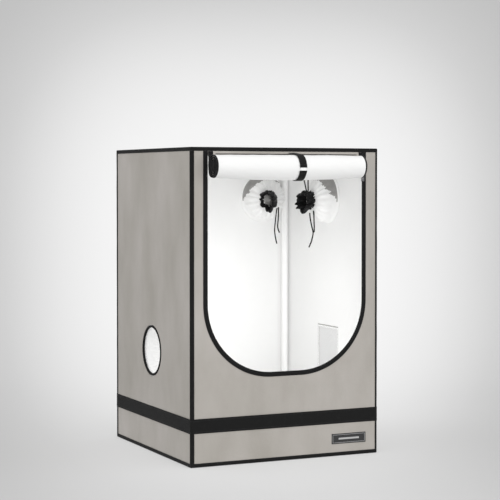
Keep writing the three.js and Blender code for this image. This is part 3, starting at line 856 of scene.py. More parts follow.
def door_curve(offset: float, top: float, straight: int = 60, arc: int = 28) -> np.ndarray:
    """The door's U, from its top left to its top right, that much outside the zip's line."""
    side, low, radius = DOOR_HALF + offset, DOOR_LOW - offset, DOOR_CORNER + offset
    level = low + radius
    left = [(-side, top + (level - top) * i / straight) for i in range(straight)]
    first = [(-side + radius + radius * math.cos(a), level + radius * math.sin(a))
             for a in np.linspace(math.pi, 1.5 * math.pi, arc, endpoint=False)]
    base = [(-side + radius + 2 * (side - radius) * i / 16, low) for i in range(16)]
    second = [(side - radius + radius * math.cos(a), level + radius * math.sin(a))
              for a in np.linspace(1.5 * math.pi, 2 * math.pi, arc, endpoint=False)]
    right = [(side, level + (top - level) * i / straight) for i in range(straight + 1)]
    return np.array(left + first + base + second + right)


def densify(loop: Sequence[Point2], step: float) -> np.ndarray:
    """Adds points to a closed outline, no further apart than step."""
    dense: list[Point2] = []
    for (ax, ay), (bx, by) in zip(loop, [*loop[1:], loop[0]]):
        count = max(1, math.ceil(math.hypot(bx - ax, by - ay) / step))
        dense.extend((ax + (bx - ax) * i / count, ay + (by - ay) * i / count) for i in range(count))
    return np.array(dense)


def inside(points: np.ndarray, loop: np.ndarray) -> np.ndarray:
    """Which points lie inside a closed outline."""
    ax, ay = loop[:, 0], loop[:, 1]
    bx, by = np.roll(ax, -1), np.roll(ay, -1)
    rise = np.where(by == ay, 1e-12, by - ay)
    hit = np.zeros(len(points), bool)
    for start in range(0, len(points), 2000):
        px = points[start:start + 2000, 0][:, None]
        py = points[start:start + 2000, 1][:, None]
        crosses = ((ay > py) != (by > py)) & (px < (bx - ax) * (py - ay) / rise + ax)
        hit[start:start + 2000] = crosses.sum(axis=1) % 2 == 1
    return hit


def gap_to(points: np.ndarray, loops: Sequence[np.ndarray]) -> np.ndarray:
    """Distance from each point to the nearest point of the outlines."""
    rim = np.vstack(loops)
    out = np.empty(len(points))
    for start in range(0, len(points), 2000):
        part = points[start:start + 2000]
        out[start:start + 2000] = np.sqrt(
            ((part[:, None] - rim[None]) ** 2).sum(axis=2).min(axis=1))
    return out


def fill_outline(loops: Sequence[np.ndarray], step: float) -> tuple[np.ndarray, np.ndarray]:
    """Fills the first outline, less the others, with triangles that turn anticlockwise.

    Returns:
        The points, then three point indices for each triangle.
    """

    def between(points: np.ndarray) -> np.ndarray:
        kept = inside(points, loops[0])
        for loop in loops[1:]:
            kept &= ~inside(points, loop)
        return kept

    low, high = loops[0].min(axis=0), loops[0].max(axis=0)
    us = np.arange(low[0] + step, high[0] - step / 2, step)
    vs = np.arange(low[1] + step, high[1] - step / 2, step)
    field_points = np.array([(u, v) for v in vs for u in us])
    field_points = field_points[between(field_points)]
    field_points = field_points[gap_to(field_points, loops) > step * 0.45]
    edges: list[tuple[int, int]] = []
    for loop in loops:
        first, count = len(edges), len(loop)
        edges.extend((first + i, first + (i + 1) % count) for i in range(count))
    cut = delaunay_2d_cdt([Vector(p) for p in np.vstack([*loops, field_points])], edges, [], 0, 1e-7)
    flat = np.array([tuple(p) for p in cut[0]])
    triangles = np.array([list(t) for t in cut[2]])
    triangles = triangles[between(flat[triangles].mean(axis=1))]
    a, b, c = (flat[triangles[:, i]] for i in range(3))
    turned = (b[:, 0] - a[:, 0]) * (c[:, 1] - a[:, 1]) < (b[:, 1] - a[:, 1]) * (c[:, 0] - a[:, 0])
    triangles[turned] = triangles[turned][:, ::-1]
    return flat, triangles


def cloth_panel(
    name: str,
    place: Callable[[float, float, float], Vector],
    outline: Sequence[Point2],
    holes: Sequence[Sequence[Point2]],
    outer: float,
    relief: Height,
    thickness: float = SKIN,
    step: float = 0.01,
) -> bpy.types.Object:
    """Makes a two-skinned cloth panel with holes.

    Args:
        name: The piece's name.
        place: Turns u, v and the outward distance into a point.
        outline: The panel's edge.
        holes: Outlines cut out of it.
        outer: Outward distance of the outer skin.
        relief: Extra outward distance at a place, eased to nothing at every edge.
        thickness: Distance between the skins.
        step: Size of the mesh.

    Returns:
        The panel, its outer skin in slot 0 and its inner skin in slot 1.
    """
    loops = [densify(outline, step), *(densify(hole, step) for hole in holes)]
    flat, triangles = fill_outline(loops, step)
    calm = [ease(g / 0.055) for g in gap_to(flat, loops)]
    lifts = [relief(u, v) * k for (u, v), k in zip(flat.tolist(), calm)]
    count = len(flat)
    points = [place(u, v, outer + lift) for (u, v), lift in zip(flat.tolist(), lifts)]
    points += [place(u, v, outer - thickness + lift) for (u, v), lift in zip(flat.tolist(), lifts)]
    faces = [tuple(t) for t in triangles.tolist()]
    inner = [(a + count, c + count, b + count) for a, b, c in faces]
    used: dict[tuple[int, int], int] = {}
    for a, b, c in faces:
        for pair in ((a, b), (b, c), (c, a)):
            used[pair] = used.get(pair, 0) + 1
    rim = [(b, a, a + count, b + count) for a, b in used if (b, a) not in used]
    coords = flat.tolist()
    uvs = [tuple(tuple(coords[i % count]) for i in face) for face in [*faces, *inner, *rim]]
    slots = [0] * len(faces) + [1] * len(inner) + [0] * len(rim)
    return paint(new_object(name, points, [*faces, *inner, *rim], uvs, slots), OUTER, LINING)


def wall_relief(seed: float, depth: float) -> Height:
    """Broad upright folds with finer creases between them."""

    def lift(u: float, v: float) -> float:
        folds = smooth_noise(u * 7.0, v * 1.6, seed)
        sway = smooth_noise(u * 2.2 + 9.0, v * 1.1, seed + 3)
        fine = smooth_noise(u * 26.0 + v * 9.0, v * 11.0, seed + 7)
        crease = 1.0 - abs(smooth_noise(u * 9.0 + v * 3.0, v * 5.0, seed + 11)) * 3.0
        return depth * (0.8 * folds + 0.9 * sway + 0.12 * fine + 0.22 * max(crease, 0.0) ** 3)

    return lift


@dataclass(frozen=True)
class Port:
    """A gathered cable port."""

    side: Side
    u: float
    v: float
    drift: float
    lowest: float


PORTS = (
    Port(Side.BACK, -0.275, 1.0, 0.011, -0.358),
    Port(Side.RIGHT, 0.010, 1.0, 0.0, -0.4),
    Port(Side.LEFT, 0.0, 0.402, 0.0, -0.4),
)
PORT_RADIUS = 0.1
RING_TUBE = 0.005

VENT_U, VENT_V, VENT_WIDTH, VENT_HEIGHT, VENT_BORDER = 0.008, 0.379, 0.176, 0.172, 0.006
FLAP = 0.190


@dataclass
class FabricShell:
    """The six cloth panels stretched over the poles."""

    depth: float = 0.0026
    made: list[bpy.types.Object] = field(default_factory=list)

    def build(self) -> None:
        """Makes the walls, roof and floor."""
        self._front()
        self._sides()
        self._roof()
        self._floor()

    def _declare(self, panel: bpy.types.Object, node: str) -> None:
        settle(panel, ENCLOSURE, [node])
        self.made.append(panel)

    def _front(self) -> None:
        """The front wall, with the doorway cut out."""
        hole = [tuple(p) for p in door_curve(0.004, DOOR_HIGH)]
        low, high = FLOOR_TOP + GAP, ROOF_UNDER - GAP
        outline = rectangle(-SKIN_OUT, SKIN_OUT, low, high)
        panel = cloth_panel("front wall", Side.FRONT.place, outline, [hole], SKIN_OUT,
                            wall_relief(2.0, self.depth * 0.8))
        loop = np.array(hole)
        x, y = loop[:, 0], loop[:, 1]
        self._declare(panel, "wall_front")

    def _sides(self) -> None:
        """The side and back walls, with their port and vent holes."""
        low, high = FLOOR_TOP + GAP, ROOF_UNDER - GAP
        names = {Side.BACK: "back", Side.RIGHT: "right", Side.LEFT: "left"}
        halves = {Side.BACK: SKIN_OUT, Side.RIGHT: SKIN_IN - GAP, Side.LEFT: SKIN_IN - GAP}
        for seed, (side, name) in enumerate(names.items()):
            half = halves[side]
            holes = [circle(p.u, p.v, PORT_RADIUS + 0.0015) for p in PORTS if p.side is side]
            if side is Side.RIGHT:
                reach_u = VENT_WIDTH / 2 - VENT_BORDER
                reach_v = VENT_HEIGHT / 2 - VENT_BORDER
                holes.append(rectangle(VENT_U - reach_u, VENT_U + reach_u,
                                       VENT_V - reach_v, VENT_V + reach_v))
            panel = cloth_panel(f"{name} wall", side.place, rectangle(-half, half, low, high),
                                holes, SKIN_OUT, wall_relief(11.0 + 5 * seed, self.depth))
            self._declare(panel, f"wall_{name}")

    def _roof(self) -> None:
        """The roof, sagging a little between the poles and the hanging bars."""

        def place(u: float, v: float, out: float) -> Vector:
            return Vector((u, v, out))

        def relief(u: float, v: float) -> float:
            sag = -0.003 * (1 - (u / SKIN_OUT) ** 2) * (1 - (v / SKIN_OUT) ** 2)
            return sag + 0.0012 * smooth_noise(u * 5.0, v * 5.0, 31.0) + 0.0009 * smooth_noise(
                u * 13.0, v * 4.0, 37.0)

        outline = rectangle(-SKIN_OUT, SKIN_OUT, -SKIN_OUT, SKIN_OUT)
        panel = cloth_panel("roof", place, outline, [], ROOF_UNDER + SKIN, relief)
        self._declare(panel, "roof_panel")

    def _floor(self) -> None:
        """The floor, flat on what it stands on."""

        def place(u: float, v: float, out: float) -> Vector:
            return Vector((u, v, -out))

        def relief(u: float, v: float) -> float:
            return -0.0007 - 0.0007 * smooth_noise(u * 9.0, v * 6.0, 41.0)

        reach = TRIM_OUT - BINDING - GAP
        outline = rectangle(-SKIN_OUT, SKIN_OUT, -SKIN_OUT, SKIN_OUT)
        panel = cloth_panel("floor", place, outline, [], -0.0014, relief, thickness=0.0021)
        sole = cloth_panel("floor sole", place, rectangle(-reach, reach, -reach, reach), [],
                           0.0, lambda u, v: 0.0, thickness=0.0012, step=0.05)
        settle(sole, ENCLOSURE)
        self._declare(panel, "floor_panel")


# ------------------------------------------------------------------ bindings and band


def hoop_piece(name: str, section: Sequence[Point2], half: float, radius: float,
               ripple: Callable[[Vector, float], float]) -> bpy.types.Object:
    """Sweeps a closed section round a rounded square.

    Args:
        name: The piece's name.
        section: Points as (how far in from the hoop, height).
        half: Half the hoop's width.
        radius: Radius of its corners.
        ripple: Outward shift at a point, given the hoop's outward direction and the depth in.
    """
    rings = []
    for inset, height in section:
        flat = square_hoop(half - inset, radius - inset)
        rings.append(np.column_stack([flat, np.full(len(flat), height)]))
    grid = np.stack(rings, axis=1)
    outer = square_hoop(half, radius)
    ahead = np.roll(outer, -1, axis=0) - np.roll(outer, 1, axis=0)
    ahead /= np.linalg.norm(ahead, axis=1, keepdims=True)
    normal = np.column_stack([ahead[:, 1], -ahead[:, 0], np.zeros(len(outer))])
    for i in range(grid.shape[0]):
        for j, (inset, height) in enumerate(section):
            grid[i, j] += normal[i] * ripple(Vector(grid[i, j]), inset)
    return grid_piece(name, grid, sharp=50, wrap_rows=True, wrap_columns=True)


def near_corner(point: Vector) -> float:
    """How near a point is to an upright edge of the tent, from 0 to 1."""
    reach = min(abs(point.x), abs(point.y))
    return ease((reach - 0.372) / 0.012)


@dataclass
class Trim:
    """Sewn bindings, the webbing band and the label, with their stitches."""

    pieces: list[bpy.types.Object] = field(default_factory=list)

    def build(self) -> None:
        """Makes every trim piece."""
        self._edge("binding_top", "top binding", True)
        self._edge("binding_bottom", "bottom binding", False)
        for turn, corner in enumerate(("front_left", "front_right", "back_right", "back_left")):
            self._upright(corner, turn)
        self._band()
        self._label()

    def _edge(self, node: str, name: str, top: bool) -> None:
        """The folded tape round the roof's or the floor's edge."""
        section = [(0.0002, 0.0150), (0.0, 0.0142), (0.0, 0.0075), (0.0001, 0.0032), (0.0008, 0.0012),
                   (0.0022, 0.0002), (0.0042, 0.0), (0.0095, 0.0), (0.0146, 0.0), (0.0150, 0.0004),
                   (0.0150, 0.0012), (0.0095, 0.0012), (0.0024, 0.0013), (0.0013, 0.0026),
                   (0.0012, 0.0075), (0.0012, 0.0146), (0.0009, 0.0150)]
        placed = [(inset, HEIGHT - z if top else z) for inset, z in section]
        seed = 51.0 if top else 53.0

        def ripple(point: Vector, inset: float) -> float:
            wave = smooth_noise(point.x * 16 + point.y * 16, point.z * 20, seed)
            return 0.00035 * wave if inset < 0.003 else 0.0

        piece = paint(hoop_piece(name, placed, TRIM_OUT, HOOP_CORNER, ripple), WEBBING)
        settle(piece, ENCLOSURE, [node])
        self.pieces.append(piece)
        height = HEIGHT - 0.0128 if top else 0.0128
        rows = [(TRIM_OUT + 0.0001, height)]
        self._hoop_stitches(f"{name} stitches", rows, STITCH_PITCH)

    def _hoop_stitches(self, name: str, rows: Sequence[Point2], pitch: float) -> None:
        """Stitches in rows round the tent, each row given as (half width, height)."""
        places: list[Placing] = []
        for half, height in rows:
            flat = square_hoop(half, HOOP_CORNER)
            path = [Vector((x, y, height)) for x, y in flat]
            path.append(path[0])
            places.extend(stitch_row(path, self._outwards, pitch))
        sew(name, places)

    @staticmethod
    def _outwards(point: Vector) -> Vector:
        """Which way a wall faces at a point."""
        if abs(point.x) > abs(point.y):
            return Vector((math.copysign(1, point.x), 0, 0))
        return Vector((0, math.copysign(1, point.y), 0))

    def _upright(self, corner: str, turn: int) -> None:
        """The folded tape down one upright edge."""
        out, inn = TRIM_OUT, TRIM_IN
        long, short = BINDING, BINDING_RETURN
        section = [(-out + 0.0003, -out + short), (-out, -out + short - 0.0006),
                   (-out, -out + 0.0052), (-out + 0.0003, -out + 0.0026),
                   (-out + 0.0011, -out + 0.0011), (-out + 0.0026, -out + 0.0003),
                   (-out + 0.0052, -out), (-out + long - 0.0006, -out), (-out + long, -out + 0.0003),
                   (-out + long, -inn), (-out + 0.0070, -inn), (-inn + 0.0009, -inn + 0.0002),
                   (-inn, -inn + 0.0012), (-inn, -out + short)]
        spin = Matrix.Rotation(turn * math.pi / 2, 3, "Z")
        low, high = BINDING + 0.0002, HEIGHT - BINDING - 0.0002
        rows = []
        for i in range(121):
            z = low + (high - low) * i / 120
            swell = 0.00045 * smooth_noise(z * 14.0, 0.0, 60.0 + turn)
            lean = 0.0006 * smooth_noise(z * 3.5, 2.0, 64.0 + turn)
            row = []
            for x, y in section:
                corner_pull = 1.0 if x + y < -2 * out + 0.004 else 0.35
                moved = Vector((x - swell * corner_pull + lean * (y > -out + 0.002),
                                y - swell * corner_pull, z))
                row.append(spin @ moved)
            rows.append([tuple(p) for p in row])
        title = f"binding {corner.replace('_', ' ')}"
        piece = grid_piece(title, rows, sharp=50, wrap_columns=True, caps=True)
        settle(paint(piece, WEBBING), ENCLOSURE, [f"binding_{corner}"])
        places: list[Placing] = []
        for x, y, facing in ((-out + long - 0.0022, -out - 0.0001, Vector((0, -1, 0))),
                             (-out - 0.0001, -out + short - 0.0020, Vector((-1, 0, 0)))):
            path = [spin @ Vector((x, y, low + (high - low) * i / 60)) for i in range(61)]
            places.extend(stitch_row(path, lambda at, way=facing: spin @ way, STITCH_PITCH))
        sew(f"{title} stitches", places)

    def _band(self) -> None:
        """The webbing band round the lower part of all four walls."""
        low, high = 0.127, 0.182
        section = [(0.0003, low), (0.0, low + 0.0005)]
        ribs = 10
        for i in range(ribs + 1):
            z = low + 0.0015 + (high - low - 0.003) * i / ribs
            section.append((0.0 if i % 2 else 0.00015, z))
        section += [(0.0, high - 0.0005), (0.0003, high), (0.0012, high), (0.0017, high - 0.001),
                    (0.0017, low + 0.001), (0.0012, low)]

        def ripple(point: Vector, inset: float) -> float:
            corner = near_corner(point)
            along = point.x + point.y
            wave = 0.0004 * smooth_noise(along * 9.0, point.z * 18.0, 71.0)
            if inset > 0.001:
                return (1 - corner) * -0.0006 + corner * 0.0009
            return (1 - corner) * (-0.0006 + wave)

        piece = paint(hoop_piece("lower band", section, HALF, 0.006, ripple), WEBBING)
        settle(piece, ENCLOSURE, ["lower_band"])
        rows = [(HALF - 0.0003, z) for z in (low + 0.0045, low + 0.0075, high - 0.0075, high - 0.0045)]
        self._hoop_stitches("lower band stitches", rows, 0.0045)

    def _label(self) -> None:
        """A blank woven label, with a plain pale frame and bars."""
        u, v, width, height = 0.272, 0.067, 0.150, 0.040
        us, vs = np.linspace(-width / 2, width / 2, 31), np.linspace(-height / 2, height / 2, 13)
        skins = []
        for depth in (TRIM_OUT, TRIM_IN):
            rows = []
            for dv in vs:
                row = []
                for du in us:
                    edge = min(width / 2 - abs(du), height / 2 - abs(dv))
                    lift = 0.0004 * ease(edge / 0.006) + 0.0003 * smooth_noise(du * 30, dv * 30, 81)
                    out = depth + (lift if depth == TRIM_OUT else 0.0)
                    row.append(tuple(Side.FRONT.place(u + du, v + dv, out)))
                rows.append(row)
            skins.append(np.array(rows))
        piece = sheet_piece("label", *skins, sharp=60)
        settle(paint(piece, LABEL_INK), ENCLOSURE, ["label"])
        marks = Patchwork()
        side, end, line = width / 2 - 0.0042, height / 2 - 0.0042, 0.0011
        bars = [(-side, side, end - line, end), (-side, side, -end, -end + line),
                (-side, -side + line, -end, end), (side - line, side, -end, end),
                (-0.045, 0.045, -0.0034, 0.0034)]
        for left, right, bottom, top in bars:
            us = np.linspace(left, right, max(2, int((right - left) / 0.004)))
            vs = np.linspace(bottom, top, max(2, int((top - bottom) / 0.004)))
            grids = []
            for lift in (0.0009, 0.0002):
                grids.append(np.array([[tuple(Side.FRONT.place(u + du, v + dv, TRIM_OUT + lift))
                                        for du in us] for dv in vs]))
            marks.add_sheet(grids[0], grids[1])
        piece = paint(marks.build("label weave", sharp=60), LABEL_MARK)
        settle(piece, ENCLOSURE, ())


# ------------------------------------------------------------------ door


def grid_normals(grid: np.ndarray, wrap_columns: bool = False) -> np.ndarray:
    """Unit normals of a grid of points, by its rows and columns."""
    down = np.gradient(grid, axis=0)
    if wrap_columns:
        across = (np.roll(grid, -1, axis=1) - np.roll(grid, 1, axis=1)) / 2
    else:
        across = np.gradient(grid, axis=1)
    normal = np.cross(across, down)
    size = np.linalg.norm(normal, axis=2, keepdims=True)
    return normal / np.maximum(size, 1e-12)


def thick_sheet(patch: Patchwork, grid: np.ndarray, thickness: float, wrap_columns: bool = False,
                slots: tuple[int, int] = (0, 0)) -> None:
    """Adds a sheet of even thickness about a grid of points."""
    normal = grid_normals(grid, wrap_columns)
    patch.add_sheet(grid + normal * thickness / 2, grid - normal * thickness / 2,
                    wrap_columns=wrap_columns, slots=slots)


def block(low: Sequence[float], high: Sequence[float], bevel: float, rings: int = 2
          ) -> bpy.types.Object:
    """A box with rounded edges."""
    work = bmesh.new()
    bmesh.ops.create_cube(work, size=1.0)
    for vertex in work.verts:
        for axis in range(3):
            middle, reach = (low[axis] + high[axis]) / 2, high[axis] - low[axis]
            vertex.co[axis] = middle + vertex.co[axis] * reach
    bmesh.ops.bevel(work, geom=list(work.edges), offset=bevel, segments=rings, profile=0.5,
                    affect="EDGES", clamp_overlap=True)
    mesh = bpy.data.meshes.new("block")
    work.to_mesh(mesh)
    work.free()
    smooth_shade(mesh, 35)
    return link_up("block", mesh)


def lathe(profile: Sequence[Point2], start: Sequence[float], axis: Sequence[float],
          sides: int = 40) -> bpy.types.Object:
    """Turns a closed profile of (radius, distance along) about an axis."""
    direction = Vector(axis).normalized()
    side = direction.orthogonal().normalized()
    other = direction.cross(side)
    origin = Vector(start)
    rows = []
    for radius, along in profile:
        ring = []
        for i in range(sides):
            _, cos, sin = on_ring(i, sides)
            ring.append(tuple(origin + direction * along + (side * cos + other * sin) * radius))
        rows.append(ring)
    return grid_piece("lathe", rows, sharp=35, wrap_rows=True, wrap_columns=True)


def rod(start: Sequence[float], axis: Sequence[float], length: float, radius: float,
        edge: float = 0.0004, sides: int = 24) -> bpy.types.Object:
    """A solid round rod with rounded ends."""
    profile = [(1e-5, 0.0), (radius - edge, 0.0), (radius, edge), (radius, length - edge),
               (radius - edge, length), (1e-5, length)]
    return lathe(profile, start, axis, sides)


@dataclass(frozen=True)
class Roll:
    """The line that the rolled-up door follows, from the seam down and round.

    Attributes:
        turns: Turns of the cloth.
        core_turns: Turns of the zip tape alone, inside the cloth's.
        free: Turns before the line starts to wind inwards.
        pitch: Distance between turns of cloth.
        core_pitch: Distance between turns of tape alone.
    """

    turns: float = 3.16
    core_turns: float = 4.1
    free: float = 0.55
    pitch: float = 0.0095
    core_pitch: float = 0.0053
    drop_steps: int = 9
    turn_steps: int = 46

    @staticmethod
    def fullness(x: float) -> float:
        """1 in the middle of the roll and 0 at either end."""
        share = (x - ROLL_LEFT) / (ROLL_RIGHT - ROLL_LEFT)
        return max(0.0, 1 - (2 * share - 1) ** 2)

    def radius(self, x: float) -> float:
        """Outer radius of the roll at x."""
        pinch = 0.0011 * math.exp(-((abs(x - 0.02) / 0.021) ** 4))
        swell = (ROLL_MIDDLE_RADIUS - ROLL_END_RADIUS) * self.fullness(x)
        return ROLL_END_RADIUS + swell - pinch

    def centre(self, x: float) -> float:
        """Height of the roll's axis at x."""
        return ROLL_Z - ROLL_SAG * self.fullness(x)

    def wrinkle(self, x: float, angle: float) -> float:
        """How far the cloth stands off its smooth roll."""
        across, up = math.cos(angle) * 0.5, math.sin(angle) * 0.5
        broad = noise.noise(Vector((x * 9.0, across * 2.2, up * 2.2 + 3)))
        slack = noise.noise(Vector((x * 24.0 + up * 4, across * 1.8, up * 1.5 + 9)))
        fold = 1 - abs(noise.noise(Vector((x * 13.0 + up * 2.5, across * 2.5, 17)))) * 3.4
        ends = min(x - ROLL_LEFT, ROLL_RIGHT - x)
        calm = ease(abs(x - 0.02) / 0.03) * ease(ends / 0.02)
        return calm * (0.0011 * broad + 0.0006 * slack + 0.0007 * max(fold, 0.0) ** 2 - 0.0008)

    def stations(self, turns: float) -> list[float]:
        """Angles along the line, in turns; below 0 they are on the flat drop."""
        drop = [-1 + i / self.drop_steps for i in range(self.drop_steps)]
        count = round(turns * self.turn_steps)
        return drop + [turns * i / count for i in range(count + 1)]

    def at(self, station: float, x: float, depth: float) -> tuple[float, float, float]:
        """Point at a station and x, that far in from the outer skin."""
        radius, height = self.radius(x), self.centre(x)
        if station < 0:
            top = Vector((-0.4022, SEAM_Z))
            end = Vector((ROLL_Y + radius, height))
            run = (end - top).normalized()
            spot = top.lerp(end, 1 + station)
            outwards = Vector((-run.y, run.x))
            lift = self.wrinkle(x, 0.0) * ease((1 + station) / 0.8)
            spot = spot + outwards * (lift - depth)
            return x, spot.x, spot.y
        wound = min(max(0.0, station - self.free), self.turns - self.free)
        core = max(0.0, station - self.turns)
        spent = self.pitch * wound + self.core_pitch * core
        reach = radius - spent * radius / ROLL_MIDDLE_RADIUS
        angle = -2 * math.pi * station
        reach += self.wrinkle(x, angle) * ease(reach / 0.03) - depth
        return x, ROLL_Y + reach * math.cos(angle), height + reach * math.sin(angle)

    def length(self) -> float:
        """Length of cloth from the seam to its foot."""
        wound = self.turns - self.free
        round_it = ROLL_MIDDLE_RADIUS * self.turns - self.pitch * wound ** 2 / 2
        return SEAM_Z - ROLL_Z + ROLL_SAG + 2 * math.pi * round_it


@dataclass
class Door:
    """The zip, the rolled door with its straps, the slider and its pull."""

    roll: Roll = field(default_factory=Roll)
    cloth: float = 0.0026

    def build(self) -> None:
        """Makes every door piece."""
        self._track()
        self._rolled()
        self._rolled_tape()
        self._straps()
        self._slider()
        self._pull()

    def _track(self) -> None:
        """The wall's half of the zip, with its coil of teeth."""
        section = [(0.0, 0.3982), (0.0003, 0.3990), (0.0014, 0.3995), (0.0034, 0.3995),
                   (0.0048, 0.3991), (0.0056, 0.3987), (0.0105, 0.3986), (0.0180, 0.3986),
                   (0.0185, 0.3983), (0.0185, 0.3977), (0.0090, 0.3977), (0.0, 0.3977)]
        columns = []
        for offset, out in section:
            line = door_curve(offset, TRACK_TOP)
            columns.append(np.column_stack([line[:, 0], np.full(len(line), -out), line[:, 1]]))
        grid = np.stack(columns, axis=1)
        for i in range(grid.shape[0]):
            for j, (offset, out) in enumerate(section):
                if out > 0.398 and offset > 0.005:
                    x, _, z = grid[i, j]
                    grid[i, j, 1] -= 0.0003 * smooth_noise(x * 25, z * 25, 91.0)
        piece = grid_piece("zip track", grid, sharp=50, wrap_columns=True, caps=True)
        settle(paint(piece, TAPE), ENCLOSURE, ["zip_track"])
        line = door_curve(0.0016, TRACK_TOP - 0.001, straight=200, arc=90)
        path = [Vector((x, -0.3987, z)) for x, z in line]
        teeth = stitch_row(path, lambda at: FORWARD, 0.0022)
        sew("zip track teeth", teeth, size=(0.0012, 0.0015, 0.0007), finish=NYLON, spread=0.04, seed=3)
        rows: list[Placing] = []
        for offset in (0.0068, 0.0162):
            line = door_curve(offset, TRACK_TOP - 0.001)
            path = [Vector((x, -0.3988, z)) for x, z in line]
            rows.extend(stitch_row(path, lambda at: FORWARD, STITCH_PITCH))
        sew("zip track stitches", rows, size=(0.0003, 0.0004, 0.0015), seed=4)

    def _rolled(self) -> None:
        """The rolled cloth: white lining outside, grey outer cloth within and down the drop."""
        stations = self.roll.stations(self.roll.turns)
        columns = np.linspace(0, 1, 101)
        skins = []
        for depth in (0.0, self.cloth):
            rows = []
            for station in stations:
                blend = ease(station / 0.1)
                left = -DROP_HALF + (ROLL_LEFT + DROP_HALF) * blend
                right = DROP_HALF + (ROLL_RIGHT - DROP_HALF) * blend
                rows.append([self.roll.at(station, left + (right - left) * k, depth)
                             for k in columns])
            skins.append(np.array(rows))
        piece = paint(sheet_piece("rolled door", *skins, sharp=50, slots=(0, 1)), ROLLED, OUTER)
        settle(piece, ROLLED_DOOR, ["door_roll"])
        self.roll.length()
        # Painted shadow: a black thread along the gap between the header and the roll's top, where shade
        # falls.
        seam = [[(x, -0.4062, 1.1740) for x in np.linspace(-0.30, 0.30, 40)]]
        shadow_thread = REPEATER.threads("door shadow thread", seam, 0.0014, WEBBING, sides=8)
        settle(shadow_thread, ROLLED_DOOR, ())

    def _rolled_tape(self) -> None:
        """The door's half of the zip, rolled up with it at both ends."""
        stations = self.roll.stations(self.roll.turns + self.roll.core_turns)
        patch = Patchwork()
        teeth: list[Placing] = []
        steps = [(0.0, 0.0006), (0.25, 0.0006), (0.45, 0.0004), (0.6, -0.0002), (0.85, -0.0003),
                 (1.0, -0.0006)]
        for side, end in ((-1, ROLL_LEFT), (1, ROLL_RIGHT)):
            outer, inner, edge = [], [], []
            for station in stations:
                blend = ease(station / 0.16)
                start, stop = end + side * 0.0003, end + side * ROLL_TAPE
                near = side * 0.3100 + (start - side * 0.3100) * blend
                far = side * 0.3283 + (stop - side * 0.3283) * blend
                outer.append([self.roll.at(station, near + (far - near) * k, -lift)
                              for k, lift in steps])
                inner.append([self.roll.at(station, near + (far - near) * k, self.cloth + lift)
                              for k, lift in steps])
                edge.append(Vector(self.roll.at(station, far + side * 0.0006, self.cloth / 2)))
            patch.add_sheet(np.array(outer), np.array(inner))
            teeth.extend(stitch_row(edge, self._off_axis, 0.0023))
        piece = paint(patch.build("rolled zip tape", sharp=50), TAPE)
        settle(piece, ROLLED_DOOR, ["door_zip_tape"])
        sew("rolled zip teeth", teeth, ROLLED_DOOR, size=(0.0014, 0.0020, 0.00085), finish=NYLON,
            spread=0.04, seed=5)

    @staticmethod
    def _off_axis(point: Vector) -> Vector:
        """Away from the roll's axis."""
        away = Vector((0, point.y - ROLL_Y, point.z - ROLL_Z))
        return away.normalized() if away.length > 1e-6 else Vector((0, 0, 1))

    def _strap_line(self, first: float, last: float, inner: float, count: int) -> list[Vector]:
        """Points round the roll between two angles, as (y, z) in a 3-D vector."""
        centre_z = ROLL_Z - ROLL_SAG
        return [Vector((0, ROLL_Y + inner * math.cos(a), centre_z + inner * math.sin(a)))
                for a in np.radians(np.linspace(first, last, count))]

    def _strap(self, name: str, line: Sequence[Vector], width: float, hems: Sequence[int],
               finish: Finish, thickness: float = 0.0013) -> bpy.types.Object:
        """A strap along a line, with a folded hem at the given ends."""
        across = np.linspace(-1, 1, 9)
        lengths = [0.0]
        for a, b in zip(line, line[1:]):
            lengths.append(lengths[-1] + (b - a).length)
        outer, inner = [], []
        path = np.array([tuple(p) for p in line])
        ahead = frame_along(path)
        for i, spot in enumerate(line):
            away = Vector((0, -ahead[i][2], ahead[i][1]))
            if away.dot(Vector((0, spot.y - ROLL_Y, spot.z - ROLL_Z))) < 0:
                away.negate()
            extra = 0.0
            for end in hems:
                gap = lengths[i] if end == 0 else lengths[-1] - lengths[i]
                extra = max(extra, 0.0011 * (1 - ease((gap - 0.0105) / 0.0015)))
            outer.append([])
            inner.append([])
            for k in across:
                x = STRAP_X + k * width / 2 + 0.0004 * smooth_noise(lengths[i] * 30, k, 101.0)
                curl = 0.0003 * (abs(k) > 0.95)
                top = spot + away * (thickness + extra - curl)
                low = spot + away * curl
                outer[-1].append((x, top.y, top.z))
                inner[-1].append((x, low.y, low.z))
        return paint(sheet_piece(name, outer, inner, sharp=45), finish)

    def _straps(self) -> None:
        """The strap that holds the roll: two black lengths and a pale link between them."""
        radius = ROLL_MIDDLE_RADIUS + 0.0006
        seam = Vector((0, -0.4052, 1.1790))
        round_top = self._strap_line(97, 181, radius, 26)
        lead = [seam.lerp(round_top[0], i / 10) for i in range(10)]
        upper = self._strap("upper strap", lead + round_top, 0.030, (1,), WEBBING)
        settle(upper, ROLLED_DOOR, ["strap_upper"])
        link = self._strap("strap link", self._strap_line(178.5, 196.5, radius - 0.0003, 8), 0.024, (),
                           LINING, 0.0009)
        settle(link, ROLLED_DOOR, ["strap_link"])
        lower = self._strap("lower strap", self._strap_line(194, 352, radius, 44), 0.030, (0,), WEBBING)
        settle(lower, ROLLED_DOOR, ["strap_lower"])
        places: list[Placing] = []
        for first, last in ((104, 180), (195, 340)):
            for x in STRAP_ROWS:
                line = [Vector((x, p.y, p.z)) for p in
                        self._strap_line(first, last, radius + 0.0014, 30)]
                places.extend(stitch_row(line, self._off_axis, STITCH_PITCH))
        for angle in (176.5, 168.5, 198.5, 206.5):
            spot = self._strap_line(angle, angle, radius + 0.0025, 1)[0]
            line = [Vector((x, spot.y, spot.z)) for x in np.linspace(*STRAP_ROWS, 8)]
            places.extend(stitch_row(line, self._off_axis, STITCH_PITCH))
        sew("strap stitches", places, ROLLED_DOOR, size=(0.0003, 0.00045, 0.0015), seed=6)

